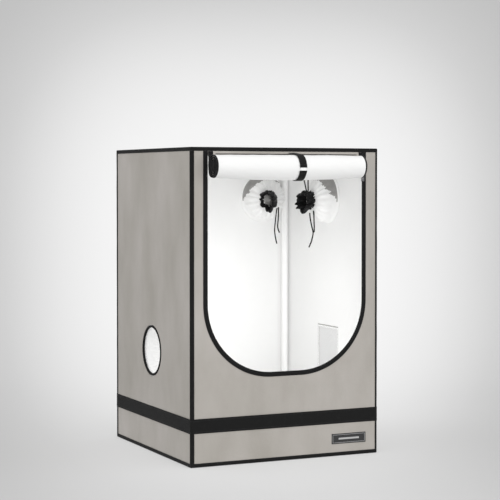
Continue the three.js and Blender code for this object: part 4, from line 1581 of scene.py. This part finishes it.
    def _slider(self) -> None:
        """The slider that wraps the zip's teeth."""
        x, low, high = SLIDER_X, 1.090, 1.114
        front, back = -(TRIM_IN + 0.0025), -(TRIM_IN - 0.0003)
        pieces = [
            block((x - 0.0078, front - 0.0036, low), (x + 0.0078, front - 0.0004, high), 0.0013, 3),
            block((x - 0.0078, back, low), (DOOR_HALF + 0.003, back + 0.003, high), 0.0009, 3),
            block((x - 0.0078, front - 0.001, low + 0.001), (DOOR_HALF - 0.0003, back + 0.001, high - 0.001),
                  0.0004),
            block((x - 0.0048, front - 0.0052, high - 0.010), (x + 0.0048, front - 0.003, high - 0.004),
                  0.0009, 3),
            rod((x - 0.0042, PIN_Y, PIN_Z), (1, 0, 0), 0.0084, 0.001),
        ]
        for side in (-1, 1):
            ear = x + side * 0.0039
            pieces.append(block((ear - 0.0008, -0.4099, 1.0934), (ear + 0.0008, front - 0.001, 1.0986),
                                0.0005))
        piece = paint(join("zip slider", pieces), ZINC)
        settle(piece, "slider", ["zip_slider"])

    def _pull(self) -> None:
        """The pull tab that hangs from the slider."""
        x = SLIDER_X
        eye = [(0.0026, 0.0), (0.0028, 0.0004), (0.0028, 0.0046), (0.0026, 0.005), (0.0014, 0.005),
               (0.0014, 0.0)]
        pieces = [
            lathe(eye, (x - 0.0025, PIN_Y, PIN_Z), (1, 0, 0), 24),
            block((x - 0.0025, -0.4089, 1.0890), (x + 0.0025, -0.4071, 1.0940), 0.0007, 3),
            block((x - 0.0070, -0.4090, 1.0710), (x + 0.0070, -0.4070, 1.0910), 0.0009, 3),
        ]
        for step in range(4):
            z = 1.0745 + 0.0032 * step
            pieces.append(block((x - 0.0048, -0.4096, z), (x + 0.0048, -0.4086, z + 0.0013), 0.0004))
        piece = paint(join("zip pull", pieces), ZINC)
        settle(piece, "pull", ["zip_pull"])


# ------------------------------------------------------------------ ports and vent


@dataclass(frozen=True)
class PortLook:
    """How one port's cloth hangs.

    Attributes:
        turn: How far the cuff turns along the wall, in radians.
        lift: How far the cuff turns upwards, in radians.
        lobes: Ruffles round the cuff's mouth.
        crush: How crumpled the cuff is.
        seed: Seed of its folds.
        facing: Middle (across, up) and radius of the white circle left inside the painted shade on the
            sleeve's upper edge.
    """

    turn: float
    lift: float
    lobes: int
    crush: float
    seed: float
    facing: tuple[float, float, float]


@dataclass
class GatheredPort:
    """A ring in the wall, a gathered sleeve and a ruffled cuff closed by a drawstring."""

    port: Port
    name: str
    look: PortLook
    around: int = 168

    def build(self) -> None:
        """Makes the port's three pieces."""
        self._ring()
        self._sleeve()
        self._cuff()

    def _place(self, across: float, up: float, depth: float, inset: float = 0.0) -> Vector:
        """Point that far across and up from the port's drooping axis, at a depth in the wall."""
        sag = (depth / 0.11) ** 2
        u = self.port.u + self.port.drift * sag + across
        u = max(u, self.port.lowest + inset)
        return self.port.side.place(u, self.port.v - 0.013 * sag + up, SKIN_IN - depth)

    def _on_wall(self, reach: float, cos: float, sin: float, out: float) -> Vector:
        """Point that far from the port's middle along the wall."""
        return self.port.side.place(self.port.u + reach * cos, self.port.v + reach * sin, out)

    def _ring(self) -> None:
        """The corded ring sewn into the wall."""
        rows = []
        for i in range(144):
            angle, cx, sx = on_ring(i, 144)
            tube = RING_TUBE * (1 + 0.05 * math.cos(48 * angle) + 0.08 * smooth_noise(
                cx * 3, sx * 3, self.look.seed))
            row = []
            for j in range(12):
                _, outwards, deep = on_ring(j, 12)
                reach = PORT_RADIUS - RING_TUBE + tube * outwards
                row.append(tuple(self._on_wall(reach, cx, sx, SKIN_IN + tube * deep)))
            rows.append(row)
        piece = grid_piece(f"port ring {self.name}", rows, wrap_rows=True, wrap_columns=True)
        settle(paint(piece, WEBBING), ENCLOSURE, [f"port_ring_{self.name}"])
        path = [self._on_wall(PORT_RADIUS - RING_TUBE, *on_ring(i, 180)[1:], SKIN_IN - RING_TUBE)
                for i in range(181)]
        inwards = self.port.side.place(0, 0, -1)
        stitches = stitch_row(path, lambda at: inwards, 0.0052)
        sew(f"port ring {self.name} stitches", stitches, size=(0.0004, 0.0005, 0.0018), spread=0.15,
            seed=7)

    def _sleeve(self) -> None:
        """The white sleeve, pleated down from the ring to its nearly shut neck, with painted backlight
        outside and painted shade in its neck and along its upper edge.
        """
        look = self.look
        profile = [(0.0009, 0.1042), (0.0032, 0.1032), (0.0058, 0.1008), (0.0072, 0.0984),
                   (0.0105, 0.0945), (0.0160, 0.0922), (0.0240, 0.0905)]
        for i in range(1, 15):
            angle = math.pi / 2 * i / 14
            profile.append((0.024 + 0.055 * math.sin(angle), 0.038 + 0.0525 * math.cos(angle)))
        profile += [(0.0830, 0.0330), (0.0865, 0.0280), (0.0885, 0.0215), (0.0900, 0.0145),
                    (0.0925, 0.0082), (0.0960, 0.0060)]
        pleats = 19
        rows = []
        for depth, radius in profile:
            gather = ease((depth - 0.004) / 0.07)
            row = []
            for j in range(self.around):
                angle, cx, sx = on_ring(j, self.around)
                wander = 1.1 * smooth_noise(cx * 1.6, sx * 1.6, look.seed + 2)
                pleat = math.cos(pleats * angle + 3.0 * wander)
                pleat = math.copysign(abs(pleat) ** 0.7, pleat)
                deep = 0.0006 + 0.0044 * gather * (0.6 + 0.4 * smooth_noise(cx * 2, sx * 2, look.seed))
                if radius < 0.036:
                    deep *= max(radius / 0.036, 0.25)
                crumple = 0.0028 * smooth_noise(cx * 3.1 + depth * 25, sx * 3.1, look.seed + 5)
                crumple += 0.0012 * smooth_noise(cx * 8, sx * 8 + depth * 60, look.seed + 6)
                slack = ease((depth - 0.007) / 0.02) * ease(radius / 0.05)
                reach = radius + pleat * deep * slack + crumple * slack
                shift = 0.0022 * slack * smooth_noise(cx * 4, sx * 4, look.seed + 8)
                belly = -0.004 * slack * (sx < 0) * abs(sx) * math.sin(math.pi * gather)
                row.append(tuple(self._place(reach * cx, reach * sx + belly, depth + shift, 0.002)))
            rows.append(row)
        patch = Patchwork()
        for reach in (0.0040, 0.0022, 0.0010):
            around = (on_ring(j, self.around) for j in range(self.around))
            rows.append([tuple(self._place(reach * cx, reach * sx, 0.0975)) for _, cx, sx in around])
        gather_row = profile.index((0.0865, 0.0280))
        # Painted light on the skin seen from outside the tent (slot 1); plain lining inside the tent (slot
        # 0).
        thick_sheet(patch, np.array(rows[:gather_row + 1]), 0.0012, wrap_columns=True, slots=(1, 0))
        # Painted shade: the gathered neck is grey cloth on both skins.
        thick_sheet(patch, np.array(rows[gather_row:]), 0.0012, wrap_columns=True, slots=(2, 2))
        piece = paint(patch.build(f"port sleeve {self.name}", sharp=75), LINING, PAINTED_BACKLIGHT, PAINTED_SHADE)
        self._face(piece)
        settle(piece, ENCLOSURE, [f"port_sleeve_{self.name}"])

    def _face(self, piece: bpy.types.Object) -> None:
        """Paints shade in grey cloth along the sleeve's upper edge, on the side inside the tent."""
        origin = self.port.side.place(self.port.u, self.port.v, SKIN_IN)
        inwards = self.port.side.place(0, 0, -1).normalized()
        across = Vector((0, 0, 1)).cross(inwards)
        shift, rise, reach = self.look.facing
        for face in piece.data.polygons:
            arm = Vector(face.center) - origin
            a, b = arm.dot(across), arm.z
            wander = 0.003 * smooth_noise(a * 18, b * 18, self.look.seed + 20)
            away = math.hypot(a - shift, b - rise) + wander
            # Painted shade: lining faces near the ring and outside the white circle turn grey.
            if face.material_index == 0 and away > reach and math.hypot(a, b) < 0.0975:
                face.material_index = 2

    def _bent(self, across: float, up: float, run: float) -> Vector:
        """Point of the cuff, its axis turning away as it runs from the neck."""
        share = min(max(run / 0.048, 0.0), 1.0)
        turn, lift = self.look.turn * share, self.look.lift * share
        depth = 0.0793 + run * (math.sin(turn) / turn if abs(turn) > 1e-4 else 1.0)
        slide = run * (1 - math.cos(turn)) / turn if abs(turn) > 1e-4 else 0.0
        rise = run * (1 - math.cos(lift)) / lift if abs(lift) > 1e-4 else 0.0
        depth -= across * math.sin(turn) + up * math.sin(lift)
        return self._place(slide + across * math.cos(turn), rise + up * math.cos(lift), depth, 0.0)

    def _cuff(self) -> None:
        """The black cuff: ruffles, a rolled mouth and the lining turned back inside it."""
        look = self.look
        outer = [(-0.0030, 0.0385), (0.0, 0.0378), (0.0045, 0.0360), (0.0090, 0.0338), (0.0130, 0.0334),
                 (0.0175, 0.0352), (0.0225, 0.0375), (0.0275, 0.0392), (0.0325, 0.0402),
                 (0.0375, 0.0406), (0.0420, 0.0402), (0.0452, 0.0390), (0.0468, 0.0372)]
        inner = [(0.0465, 0.0350), (0.0445, 0.0332), (0.0400, 0.0318), (0.0340, 0.0306),
                 (0.0270, 0.0296), (0.0200, 0.0285), (0.0140, 0.0262)]
        rows = []
        for run, radius in outer + inner:
            flare = ease((run + 0.002) / 0.034)
            inwards = (run, radius) in inner
            row = []
            for j in range(self.around):
                angle, cx, sx = on_ring(j, self.around)
                wander = 1.5 * smooth_noise(cx * 1.2, sx * 1.2, look.seed + 3)
                ruffle = math.cos(look.lobes * angle + 3.4 * wander)
                ruffle = math.copysign(abs(ruffle) ** 0.75, ruffle)
                fine = math.cos((2 * look.lobes + 3) * angle + 5.0 * wander)
                deep = (0.0012 + 0.0042 * flare) * (0.7 + 0.5 * smooth_noise(
                    cx * 2 + 5, sx * 2, look.seed + 4))
                gathers = 0.0016 * (1 - flare) * math.cos(27 * angle + 4 * wander)
                crumple = look.crush * 0.0055 * smooth_noise(
                    cx * 2.3 + run * 30, sx * 2.3, look.seed + 9) * (0.3 + flare)
                share = 0.75 if inwards else 1.0
                reach = radius + share * (ruffle * deep + crumple) + 0.0012 * fine * flare + gathers
                edge = (0.0050 * flare * smooth_noise(cx * 2.6, sx * 2.6, look.seed + 12)
                        + 0.0022 * flare * ruffle * look.crush)
                row.append(tuple(self._bent(reach * cx, reach * sx, run + edge)))
            rows.append(row)
        patch = Patchwork()
        thick_sheet(patch, np.array(rows), 0.0013, wrap_columns=True)
        piece = paint(patch.build(f"port cuff {self.name}", sharp=80), CUFF)
        settle(piece, ENCLOSURE, [f"port_cuff_{self.name}"])


@dataclass
class Vent:
    """The net window low in the right wall and the flap that covers it outside."""

    pitch: float = 0.0034

    def build(self) -> None:
        """Makes the net, its hem and the flap."""
        self._net()
        self._hem()
        self._flap()

    @staticmethod
    def _at(du: float, dv: float, out: float) -> Vector:
        """Point off the vent's middle, that far out from the tent's axis."""
        return Side.RIGHT.place(VENT_U + du, VENT_V + dv, out)

    def _net(self) -> None:
        """The net's threads, over and under one another."""
        half_u, half_v = VENT_WIDTH / 2 - 0.003, VENT_HEIGHT / 2 - 0.003
        out = SKIN_IN - 0.0009
        runs = []
        for half_run, half_step, swapped in ((half_v, half_u, False), (half_u, half_v, True)):
            count = round(2 * half_step / self.pitch)
            steps = round(2 * half_run / self.pitch)
            for i in range(count + 1):
                fixed = -half_step + 2 * half_step * i / count
                run = []
                for j in range(2 * steps + 1):
                    moving = -half_run + half_run * j / steps
                    weave = 0.00032 * math.cos(math.pi * (j / 2 + i + (1 if swapped else 0)))
                    drift = 0.0004 * smooth_noise(moving * 20, fixed * 20, 121.0 + swapped)
                    du, dv = (moving, fixed + drift) if swapped else (fixed + drift, moving)
                    run.append(tuple(self._at(du, dv, out + weave)))
                runs.append(run)
        piece = REPEATER.threads("vent net", runs, 0.00042, NET, sides=4)
        settle(piece, ENCLOSURE, ["vent_mesh"])

    def _hem(self) -> None:
        """The tape sewn round the net, with its dotted stitches."""
        outer_u, outer_v = VENT_WIDTH / 2 + 0.002, VENT_HEIGHT / 2 + 0.002
        width = 0.009
        corners = [(outer_u - shrink, outer_v - shrink)
                   for shrink in (0.0, 0.0004, width - 0.0004, width, width, 0.0)]
        outs = (SKIN_IN - 0.0016, SKIN_IN - 0.0022, SKIN_IN - 0.0022, SKIN_IN - 0.0016,
                SKIN_IN - 0.0006, SKIN_IN - 0.0006)
        rows = []
        for (u, v), out in zip(corners, outs):
            loop = []
            signs = ((-1, -1), (1, -1), (1, 1), (-1, 1))
            for (ax, ay), (bx, by) in zip(signs, signs[1:] + signs[:1]):
                for i in range(24):
                    t = i / 24
                    loop.append(tuple(self._at(u * (ax + (bx - ax) * t), v * (ay + (by - ay) * t), out)))
            rows.append(loop)
        piece = grid_piece("vent hem", rows, wrap_rows=True, wrap_columns=True)
        settle(paint(piece, LINING), ENCLOSURE, ())
        inwards = Side.RIGHT.place(0, 0, -1)
        places: list[Placing] = []
        for shrink in (0.0016, 0.0074):
            loop = [self._at(sx * (outer_u - shrink), sy * (outer_v - shrink), SKIN_IN - 0.0023)
                    for sx, sy in ((-1, -1), (1, -1), (1, 1), (-1, 1), (-1, -1))]
            places.extend(stitch_row(loop, lambda at: inwards, 0.0058))
        sew("vent stitches", places, size=(0.0004, 0.0006, 0.0019), finish=PALE_THREAD,
            spread=0.15, seed=8)
        line = REPEATER.threads("vent top cord", [[tuple(self._at(
            -VENT_WIDTH / 2 + VENT_WIDTH * i / 30, VENT_HEIGHT / 2 + 0.0032, SKIN_IN - 0.0012))
            for i in range(31)]], 0.0013, PALE_THREAD, sides=8)
        settle(line, ENCLOSURE, ())

    def _flap(self) -> None:
        """The flap outside, hung from its top edge."""

        def relief(u: float, v: float) -> float:
            return 0.0006 * smooth_noise(u * 16, v * 7, 131.0)

        half = FLAP / 2
        outline = rectangle(VENT_U - half, VENT_U + half, VENT_V - half, VENT_V + half)
        panel = cloth_panel("vent flap", Side.RIGHT.place, outline, [], TRIM_IN + SKIN, relief,
                            thickness=0.0018, step=0.008)
        settle(panel, "flap", ["vent_flap"])
        out = TRIM_IN + SKIN + 0.0002
        outwards = Side.RIGHT.place(0, 0, 1)
        reach = half - 0.006
        loop = [Side.RIGHT.place(VENT_U + sx * reach, VENT_V + sy * reach, out)
                for sx, sy in ((-1, 1), (-1, -1), (1, -1), (1, 1), (-1, 1))]
        places = stitch_row(loop, lambda at: outwards, 0.0048)
        sew("vent flap stitches", places, "flap", (0.0003, 0.0005, 0.0017), seed=9)


# ------------------------------------------------------------------ pole frame


@dataclass
class PoleFrame:
    """Enamelled poles in moulded corners, and two bars that hang on the top rails."""

    def build(self) -> None:
        """Makes poles, corners and bars."""
        for level, z in (("bottom", CORNER_LOW), ("top", CORNER_HIGH)):
            for name, start, axis in (
                ("front", (-POLE_AT, -POLE_AT, z), (1, 0, 0)),
                ("back", (-POLE_AT, POLE_AT, z), (1, 0, 0)),
                ("left", (-POLE_AT, -POLE_AT, z), (0, 1, 0)),
                ("right", (POLE_AT, -POLE_AT, z), (0, 1, 0)),
            ):
                self._pole(f"rail_{level}_{name}", start, axis, 2 * POLE_AT)
        for depth, y in (("front", -1), ("back", 1)):
            for side, x in (("left", -1), ("right", 1)):
                start = (x * POLE_AT, y * POLE_AT, CORNER_LOW)
                self._pole(f"upright_{depth}_{side}", start, (0, 0, 1), CORNER_HIGH - CORNER_LOW)
                for level, up in (("bottom", -1), ("top", 1)):
                    self._corner(f"corner_{level}_{depth}_{side}", x, y, up)
        self._bar("hanging_bar_front", "bar_front", -0.150)
        self._bar("hanging_bar_back", "bar_back", 0.180)

    def _pole(self, node: str, start: Sequence[float], axis: Sequence[float], reach: float) -> None:
        """A hollow pole between two collars."""
        gap = 0.0243
        length = reach - 2 * gap
        inner, edge = POLE_RADIUS - POLE_WALL, 0.0003
        profile = [(inner, edge), (inner + edge, 0.0), (POLE_RADIUS - edge, 0.0), (POLE_RADIUS, edge)]
        profile += [(POLE_RADIUS, edge + (length - 2 * edge) * i / 12) for i in range(1, 12)]
        profile += [(POLE_RADIUS, length - edge), (POLE_RADIUS - edge, length), (inner + edge, length),
                    (inner, length - edge)]
        origin = Vector(start) + Vector(axis) * gap
        piece = paint(lathe(profile, origin, axis, 40), ENAMEL)
        piece.name = node.replace("_", " ")
        settle(piece, ENCLOSURE, [node])

    def _corner(self, node: str, x: int, y: int, up: int) -> None:
        """A moulded three-way corner, its sockets blended into the ball."""
        centre = Vector((x * POLE_AT, y * POLE_AT, CORNER_HIGH if up > 0 else CORNER_LOW))
        ball = bmesh.new()
        bmesh.ops.create_icosphere(ball, subdivisions=4, radius=BALL_RADIUS)
        bmesh.ops.translate(ball, verts=ball.verts, vec=centre)
        mesh = bpy.data.meshes.new("ball")
        ball.to_mesh(mesh)
        ball.free()
        parts = [link_up("ball", mesh)]
        for axis in ((-x, 0, 0), (0, -y, 0), (0, 0, -up)):
            collar = [(1e-5, 0.0), (0.0164, 0.0), (0.0164, 0.0228), (0.0155, 0.0240), (0.0120, 0.0240),
                      (0.0120, 0.0590), (0.0110, 0.0600), (1e-5, 0.0600)]
            parts.append(lathe(collar, centre, axis, 40))
        piece = join(node.replace("_", " "), parts)
        remesh = piece.modifiers.new("blend", "REMESH")
        remesh.mode = "VOXEL"
        remesh.voxel_size = 0.0011
        smooth = piece.modifiers.new("soften", "SMOOTH")
        smooth.factor, smooth.iterations = 0.5, 3
        bake(piece)
        settle(paint(piece, PLASTIC), ENCLOSURE, [node])

    def _bar(self, node: str, body: str, y: float) -> None:
        """A hanging bar with a saddle at each end."""

        def arc(radius: float, first: float, last: float) -> list[Point2]:
            return [(radius * math.cos(a), radius * math.sin(a)) for a in np.linspace(first, last, 25)]

        reach = POLE_AT - SADDLE_IN - 0.001
        pieces = [rod((-reach, y, CORNER_HIGH), (1, 0, 0), 2 * reach, 0.011, 0.0006, 36)]
        for side in (-1, 1):
            x = side * POLE_AT
            outline = [(SADDLE_OUT, -0.010), *arc(SADDLE_OUT, 0, math.pi), (-SADDLE_OUT, -0.010),
                       (-0.0162, -0.0108), (-SADDLE_IN, -0.010), *arc(SADDLE_IN, math.pi, 0),
                       (SADDLE_IN, -0.010), (0.0162, -0.0108)]
            rows = []
            for along, shrink in ((-0.0120, 0.0005), (-0.0115, 0.0), (0.0115, 0.0), (0.0120, 0.0005)):
                row = []
                for dx, dz in outline:
                    size = math.hypot(dx, dz)
                    pull = shrink if size > 0.0162 else -shrink
                    row.append((x + dx * (1 - pull / size), y + along,
                                CORNER_HIGH + dz * (1 - pull / size)))
                rows.append(row)
            patch = Patchwork()
            grid = np.array(rows)
            patch.add_grid(grid, wrap_columns=True)
            half = len(outline) // 2
            for index in (0, -1):
                pair = np.stack([grid[index][:half], grid[index][::-1][:half]])
                patch.add_grid(pair)
            pieces.append(patch.build("saddle", sharp=35))
        piece = paint(join(node.replace("_", " "), pieces), ENAMEL)
        settle(piece, body, [node])


# ------------------------------------------------------------------ cords


class End(Enum):
    """What is on a cord's far end."""

    BARE = "bare"
    KNOT = "knot"
    OBJECT = "object"


@dataclass(frozen=True)
class CordRoute:
    """One free cord: its node, where it goes and how it ends."""

    node: str
    points: tuple[tuple[float, float, float], ...]
    end: End


CORD_DIAMETER = 0.0054
CORDS = (
    CordRoute("drawstring_back_long", (
        (0.292, 0.283, 0.955), (0.290, 0.284, 0.940), (0.287, 0.285, 0.915), (0.284, 0.286, 0.885),
        (0.282, 0.286, 0.859), (0.284, 0.285, 0.838), (0.287, 0.284, 0.820), (0.291, 0.283, 0.802),
    ), End.BARE),
    CordRoute("drawstring_back_short", (
        (0.299, 0.283, 0.959), (0.299, 0.283, 0.937), (0.298, 0.284, 0.904), (0.296, 0.285, 0.878),
        (0.299, 0.284, 0.861), (0.304, 0.283, 0.849),
    ), End.BARE),
    CordRoute("drawstring_right_long", (
        (0.310, 0.010, 0.940), (0.311, 0.010, 0.925), (0.314, 0.010, 0.907), (0.320, 0.010, 0.882),
        (0.325, 0.010, 0.862), (0.325, 0.010, 0.850), (0.321, 0.010, 0.833), (0.315, 0.010, 0.815),
        (0.306, 0.010, 0.797),
    ), End.BARE),
    CordRoute("drawstring_right_short", (
        (0.313, -0.017, 0.949), (0.315, -0.017, 0.930), (0.317, -0.015, 0.907), (0.320, -0.011, 0.885),
        (0.324, -0.003, 0.869), (0.327, 0.003, 0.862),
    ), End.KNOT),
    CordRoute("hanger_cord", (
        (0.252, 0.010, 1.195), (0.262, 0.010, 1.155), (0.273, 0.010, 1.113), (0.284, 0.010, 1.073),
        (0.291, 0.010, 1.045), (0.294, 0.010, 1.032), (0.298, 0.010, 1.027), (0.302, 0.010, 1.032),
        (0.302, 0.010, 1.045), (0.302, 0.010, 1.073), (0.303, 0.010, 1.113), (0.305, 0.010, 1.155),
        (0.306, 0.010, 1.195),
    ), End.OBJECT),
)


@dataclass
class Cords:
    """The drawstrings' tails and the loop that hangs from the roof."""

    def build(self) -> None:
        for route in CORDS:
            self._cord(route)
        self._tie(Vector((0.3262, 0.0075, 0.8605)), "drawstring tie")

    def _cord(self, route: CordRoute) -> None:
        """One cord as a round curve along its route."""
        path = smooth_path(route.points, 0.004)
        curve = bpy.data.curves.new(route.node, "CURVE")
        curve.dimensions = "3D"
        curve.bevel_depth = CORD_DIAMETER / 2
        curve.bevel_resolution = 3
        curve.use_fill_caps = True
        spline = curve.splines.new("POLY")
        spline.points.add(len(path) - 1)
        for point, place in zip(spline.points, path):
            point.co = (*place, 1.0)
        piece = link_up(route.node.replace("_", "-"), curve)
        curve.materials.append(FINISHES[BRAID])
        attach(piece, ENCLOSURE)
        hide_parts(route.node)
        length = sum((b - a).length for a, b in zip(path, path[1:]))
        LOG.info("%s: %.3f m", route.node, length)
        tuple(path[0])

    @staticmethod
    def _tie(at: Vector, name: str) -> None:
        """A small overhand knot."""
        points = [at + 0.0009 * Vector((sin + 2 * math.sin(2 * t), -math.sin(3 * t),
                                        cos - 2 * math.cos(2 * t)))
                  for t, cos, sin in (on_ring(i, 64) for i in range(64))]
        path = np.array([tuple(p) for p in points])
        ahead = frame_along(path, closed=True)
        rows = []
        for spot, way in zip(points, ahead):
            side = Vector(way).orthogonal().normalized()
            other = Vector(way).cross(side)
            rows.append([tuple(spot + (side * math.cos(a) + other * math.sin(a)) * 0.0021)
                         for a in np.linspace(0, 2 * math.pi, 8, endpoint=False)])
        piece = grid_piece(name, rows, sharp=80, wrap_rows=True, wrap_columns=True)
        settle(paint(piece, BRAID), ENCLOSURE, ())


# ------------------------------------------------------------------ studio


@dataclass(frozen=True)
class Lamp:
    """A soft area lamp."""

    name: str
    at: tuple[float, float, float]
    aim: tuple[float, float, float]
    size: tuple[float, float]
    power: float


@dataclass
class Studio:
    """The camera, the pale sweep the tent stands on, and the lamps."""

    place: tuple[float, float, float] = (-2.6526, -5.7495, 1.0810)
    yaw: float = 0.4368
    pitch: float = -0.0264
    lens: float = 112.38
    sky: float = 1.1
    paper: float = 0.38
    # Painted light: the paper's emission, brightest behind the tent and falling off towards glow_rim.
    painted_glow: float = 0.54
    glow_rim: float = 0.198
    glow_low: float = 0.019
    lamps: tuple[Lamp, ...] = (
        Lamp("key", (0.6, -4.4, 1.7), (0.0, -0.3, 0.6), (2.6, 2.0), 26.0),
        Lamp("inner high", (-0.1, -0.2, 0.55), (0.15, 0.4, 1.0), (0.3, 0.3), 1.0),
        Lamp("door fill", (-0.3, -2.6, 1.2), (0.15, 0.4, 0.7), (1.2, 1.2), 7.0),
        Lamp("left fill", (-3.6, -1.0, 1.0), (-0.4, 0.0, 0.6), (1.6, 1.6), 7.0),
        Lamp("inner low", (0.0, -0.31, 0.2), (0.1, 0.4, 0.8), (0.55, 0.12), 1.1),
    )

    def build(self) -> None:
        """Sets up everything that isn't the tent."""
        self._camera()
        self._sweep()
        self._sky()
        for lamp in self.lamps:
            self._lamp(lamp)
        bpy.context.scene.view_settings.view_transform = "Standard"

    def _forward(self) -> Vector:
        """The way the camera looks."""
        return Vector((math.sin(self.yaw) * math.cos(self.pitch),
                       math.cos(self.yaw) * math.cos(self.pitch), math.sin(self.pitch)))

    def _camera(self) -> None:
        """A long lens a little left of the door."""
        data = bpy.data.cameras.new("camera")
        data.lens = self.lens
        data.sensor_width = 36.0
        data.shift_y = -0.06
        data.clip_end = 60.0
        camera = link_up("camera", data)
        camera.location = self.place
        camera.rotation_euler = self._forward().to_track_quat("-Z", "Y").to_euler()
        bpy.context.scene.camera = camera

    def _sweep(self) -> None:
        """A floor that curves up into a backdrop behind the tent."""
        turn = Matrix.Rotation(-self.yaw, 3, "Z")
        profile = [(-7.0, 0.0), (-3.0, 0.0), (-1.0, 0.0), (0.0, 0.0), (1.5, 0.0)]
        for i in range(1, 17):
            angle = math.pi / 2 * i / 16
            profile.append((1.5 + 1.5 * math.sin(angle), 1.5 - 1.5 * math.cos(angle)))
        profile += [(3.0, 3.0), (3.0, 6.0)]
        rows = []
        for depth, height in profile:
            rows.append([tuple(turn @ Vector((x, depth, 0)) + Vector((0, 0, height - 0.0005)))
                         for x in np.linspace(-6, 6, 13)])
        sweep = grid_piece("sweep", rows, sharp=180)
        sweep.data.materials.append(self._sweep_material())

    def _sweep_material(self) -> bpy.types.Material:
        """White paper with a painted pool of light: it glows most behind the middle of the tent and dims
        towards its rim.
        """
        material, shader = principled("Paper sweep")
        tree = material.node_tree
        shader.inputs["Roughness"].default_value = 0.95
        shader.inputs["Specular IOR Level"].default_value = 0.0
        shader.inputs["Base Color"].default_value = (self.paper, self.paper, self.paper, 1)
        away = self._off_middle(tree)
        ramp = tree.nodes.new("ShaderNodeValToRGB")
        ramp.color_ramp.interpolation = "B_SPLINE"
        first, last = ramp.color_ramp.elements[0], ramp.color_ramp.elements[-1]
        first.position, first.color = 0.0, (self.painted_glow, self.painted_glow, self.painted_glow, 1)
        last.position, last.color = 1.0, (self.painted_glow - 0.40,) * 3 + (1,)
        for position, fall in ((0.40, 0.0), (0.52, 0.045), (0.65, 0.125), (0.80, 0.275)):
            stop = ramp.color_ramp.elements.new(position)
            stop.color = (self.painted_glow - fall,) * 3 + (1,)
        tree.links.new(away, ramp.inputs[0])
        tree.links.new(ramp.outputs[0], shader.inputs["Emission Color"])
        shader.inputs["Emission Strength"].default_value = 1.0
        return material

    def _off_middle(self, tree: bpy.types.NodeTree) -> bpy.types.NodeSocket:
        """How far a place is seen off the glow's middle, as a share of the way to its rim."""
        place = tree.nodes.new("ShaderNodeTexCoord")
        arm = add_node(tree, "ShaderNodeVectorMath", {0: place.outputs["Object"], 1: self.place})
        arm.operation = "SUBTRACT"
        ahead = self._forward()
        right = ahead.cross(Vector((0, 0, 1))).normalized()
        reach = []
        for axis in (ahead, right, right.cross(ahead)):
            dot = add_node(tree, "ShaderNodeVectorMath", {0: arm.outputs[0], 1: axis})
            dot.operation = "DOT_PRODUCT"
            reach.append(dot.outputs["Value"])
        cubes = []
        for value, shift in ((reach[1], 0.0), (reach[2], self.glow_low)):
            slope = maths(tree, "ADD", maths(tree, "DIVIDE", value, reach[0]), shift)
            cubes.append(maths(tree, "POWER", maths(tree, "ABSOLUTE", slope), 3.0))
        total = maths(tree, "POWER", maths(tree, "ADD", *cubes), 1 / 3)
        return maths(tree, "DIVIDE", total, self.glow_rim)

    def _sky(self) -> None:
        """Even white light from all round."""
        world = bpy.data.worlds.new("sky")
        world.use_nodes = True
        background = next(n for n in world.node_tree.nodes if n.type == "BACKGROUND")
        background.inputs["Color"].default_value = (1, 1, 1, 1)
        background.inputs["Strength"].default_value = self.sky
        bpy.context.scene.world = world

    @staticmethod
    def _lamp(lamp: Lamp) -> None:
        """Adds one area lamp."""
        data = bpy.data.lights.new(lamp.name, "AREA")
        data.shape = "RECTANGLE"
        data.size, data.size_y = lamp.size
        data.energy = lamp.power
        piece = link_up(lamp.name, data)
        piece.location = lamp.at
        aim = Vector(lamp.aim) - Vector(lamp.at)
        piece.rotation_euler = aim.to_track_quat("-Z", "Y").to_euler()


# ------------------------------------------------------------------ tent


# facing places each sleeve's white circle inside its painted shade.
PORT_LOOKS = {
    "back": PortLook(turn=1.05, lift=0.0, lobes=9, crush=1.0, seed=201.0,
                     facing=(0.004, -0.022, 0.0995)),
    "right": PortLook(turn=-0.20, lift=0.0, lobes=8, crush=1.3, seed=223.0,
                      facing=(-0.003, -0.022, 0.0990)),
    "left": PortLook(turn=0.1, lift=0.05, lobes=9, crush=1.1, seed=247.0,
                     facing=(0.002, -0.022, 0.0995)),
}


def main() -> None:
    """Builds the tent, then its surroundings."""
    logging.basicConfig(level=logging.INFO, format="%(name)s %(message)s", stream=sys.stdout)
    Studio().build()
    Cords().build()
    PoleFrame().build()
    FabricShell().build()
    Trim().build()
    Door().build()
    for port, name in zip(PORTS, ("back", "right", "left")):
        GatheredPort(port, name, PORT_LOOKS[name]).build()
    Vent().build()


if __name__ == "__main__":
    main()
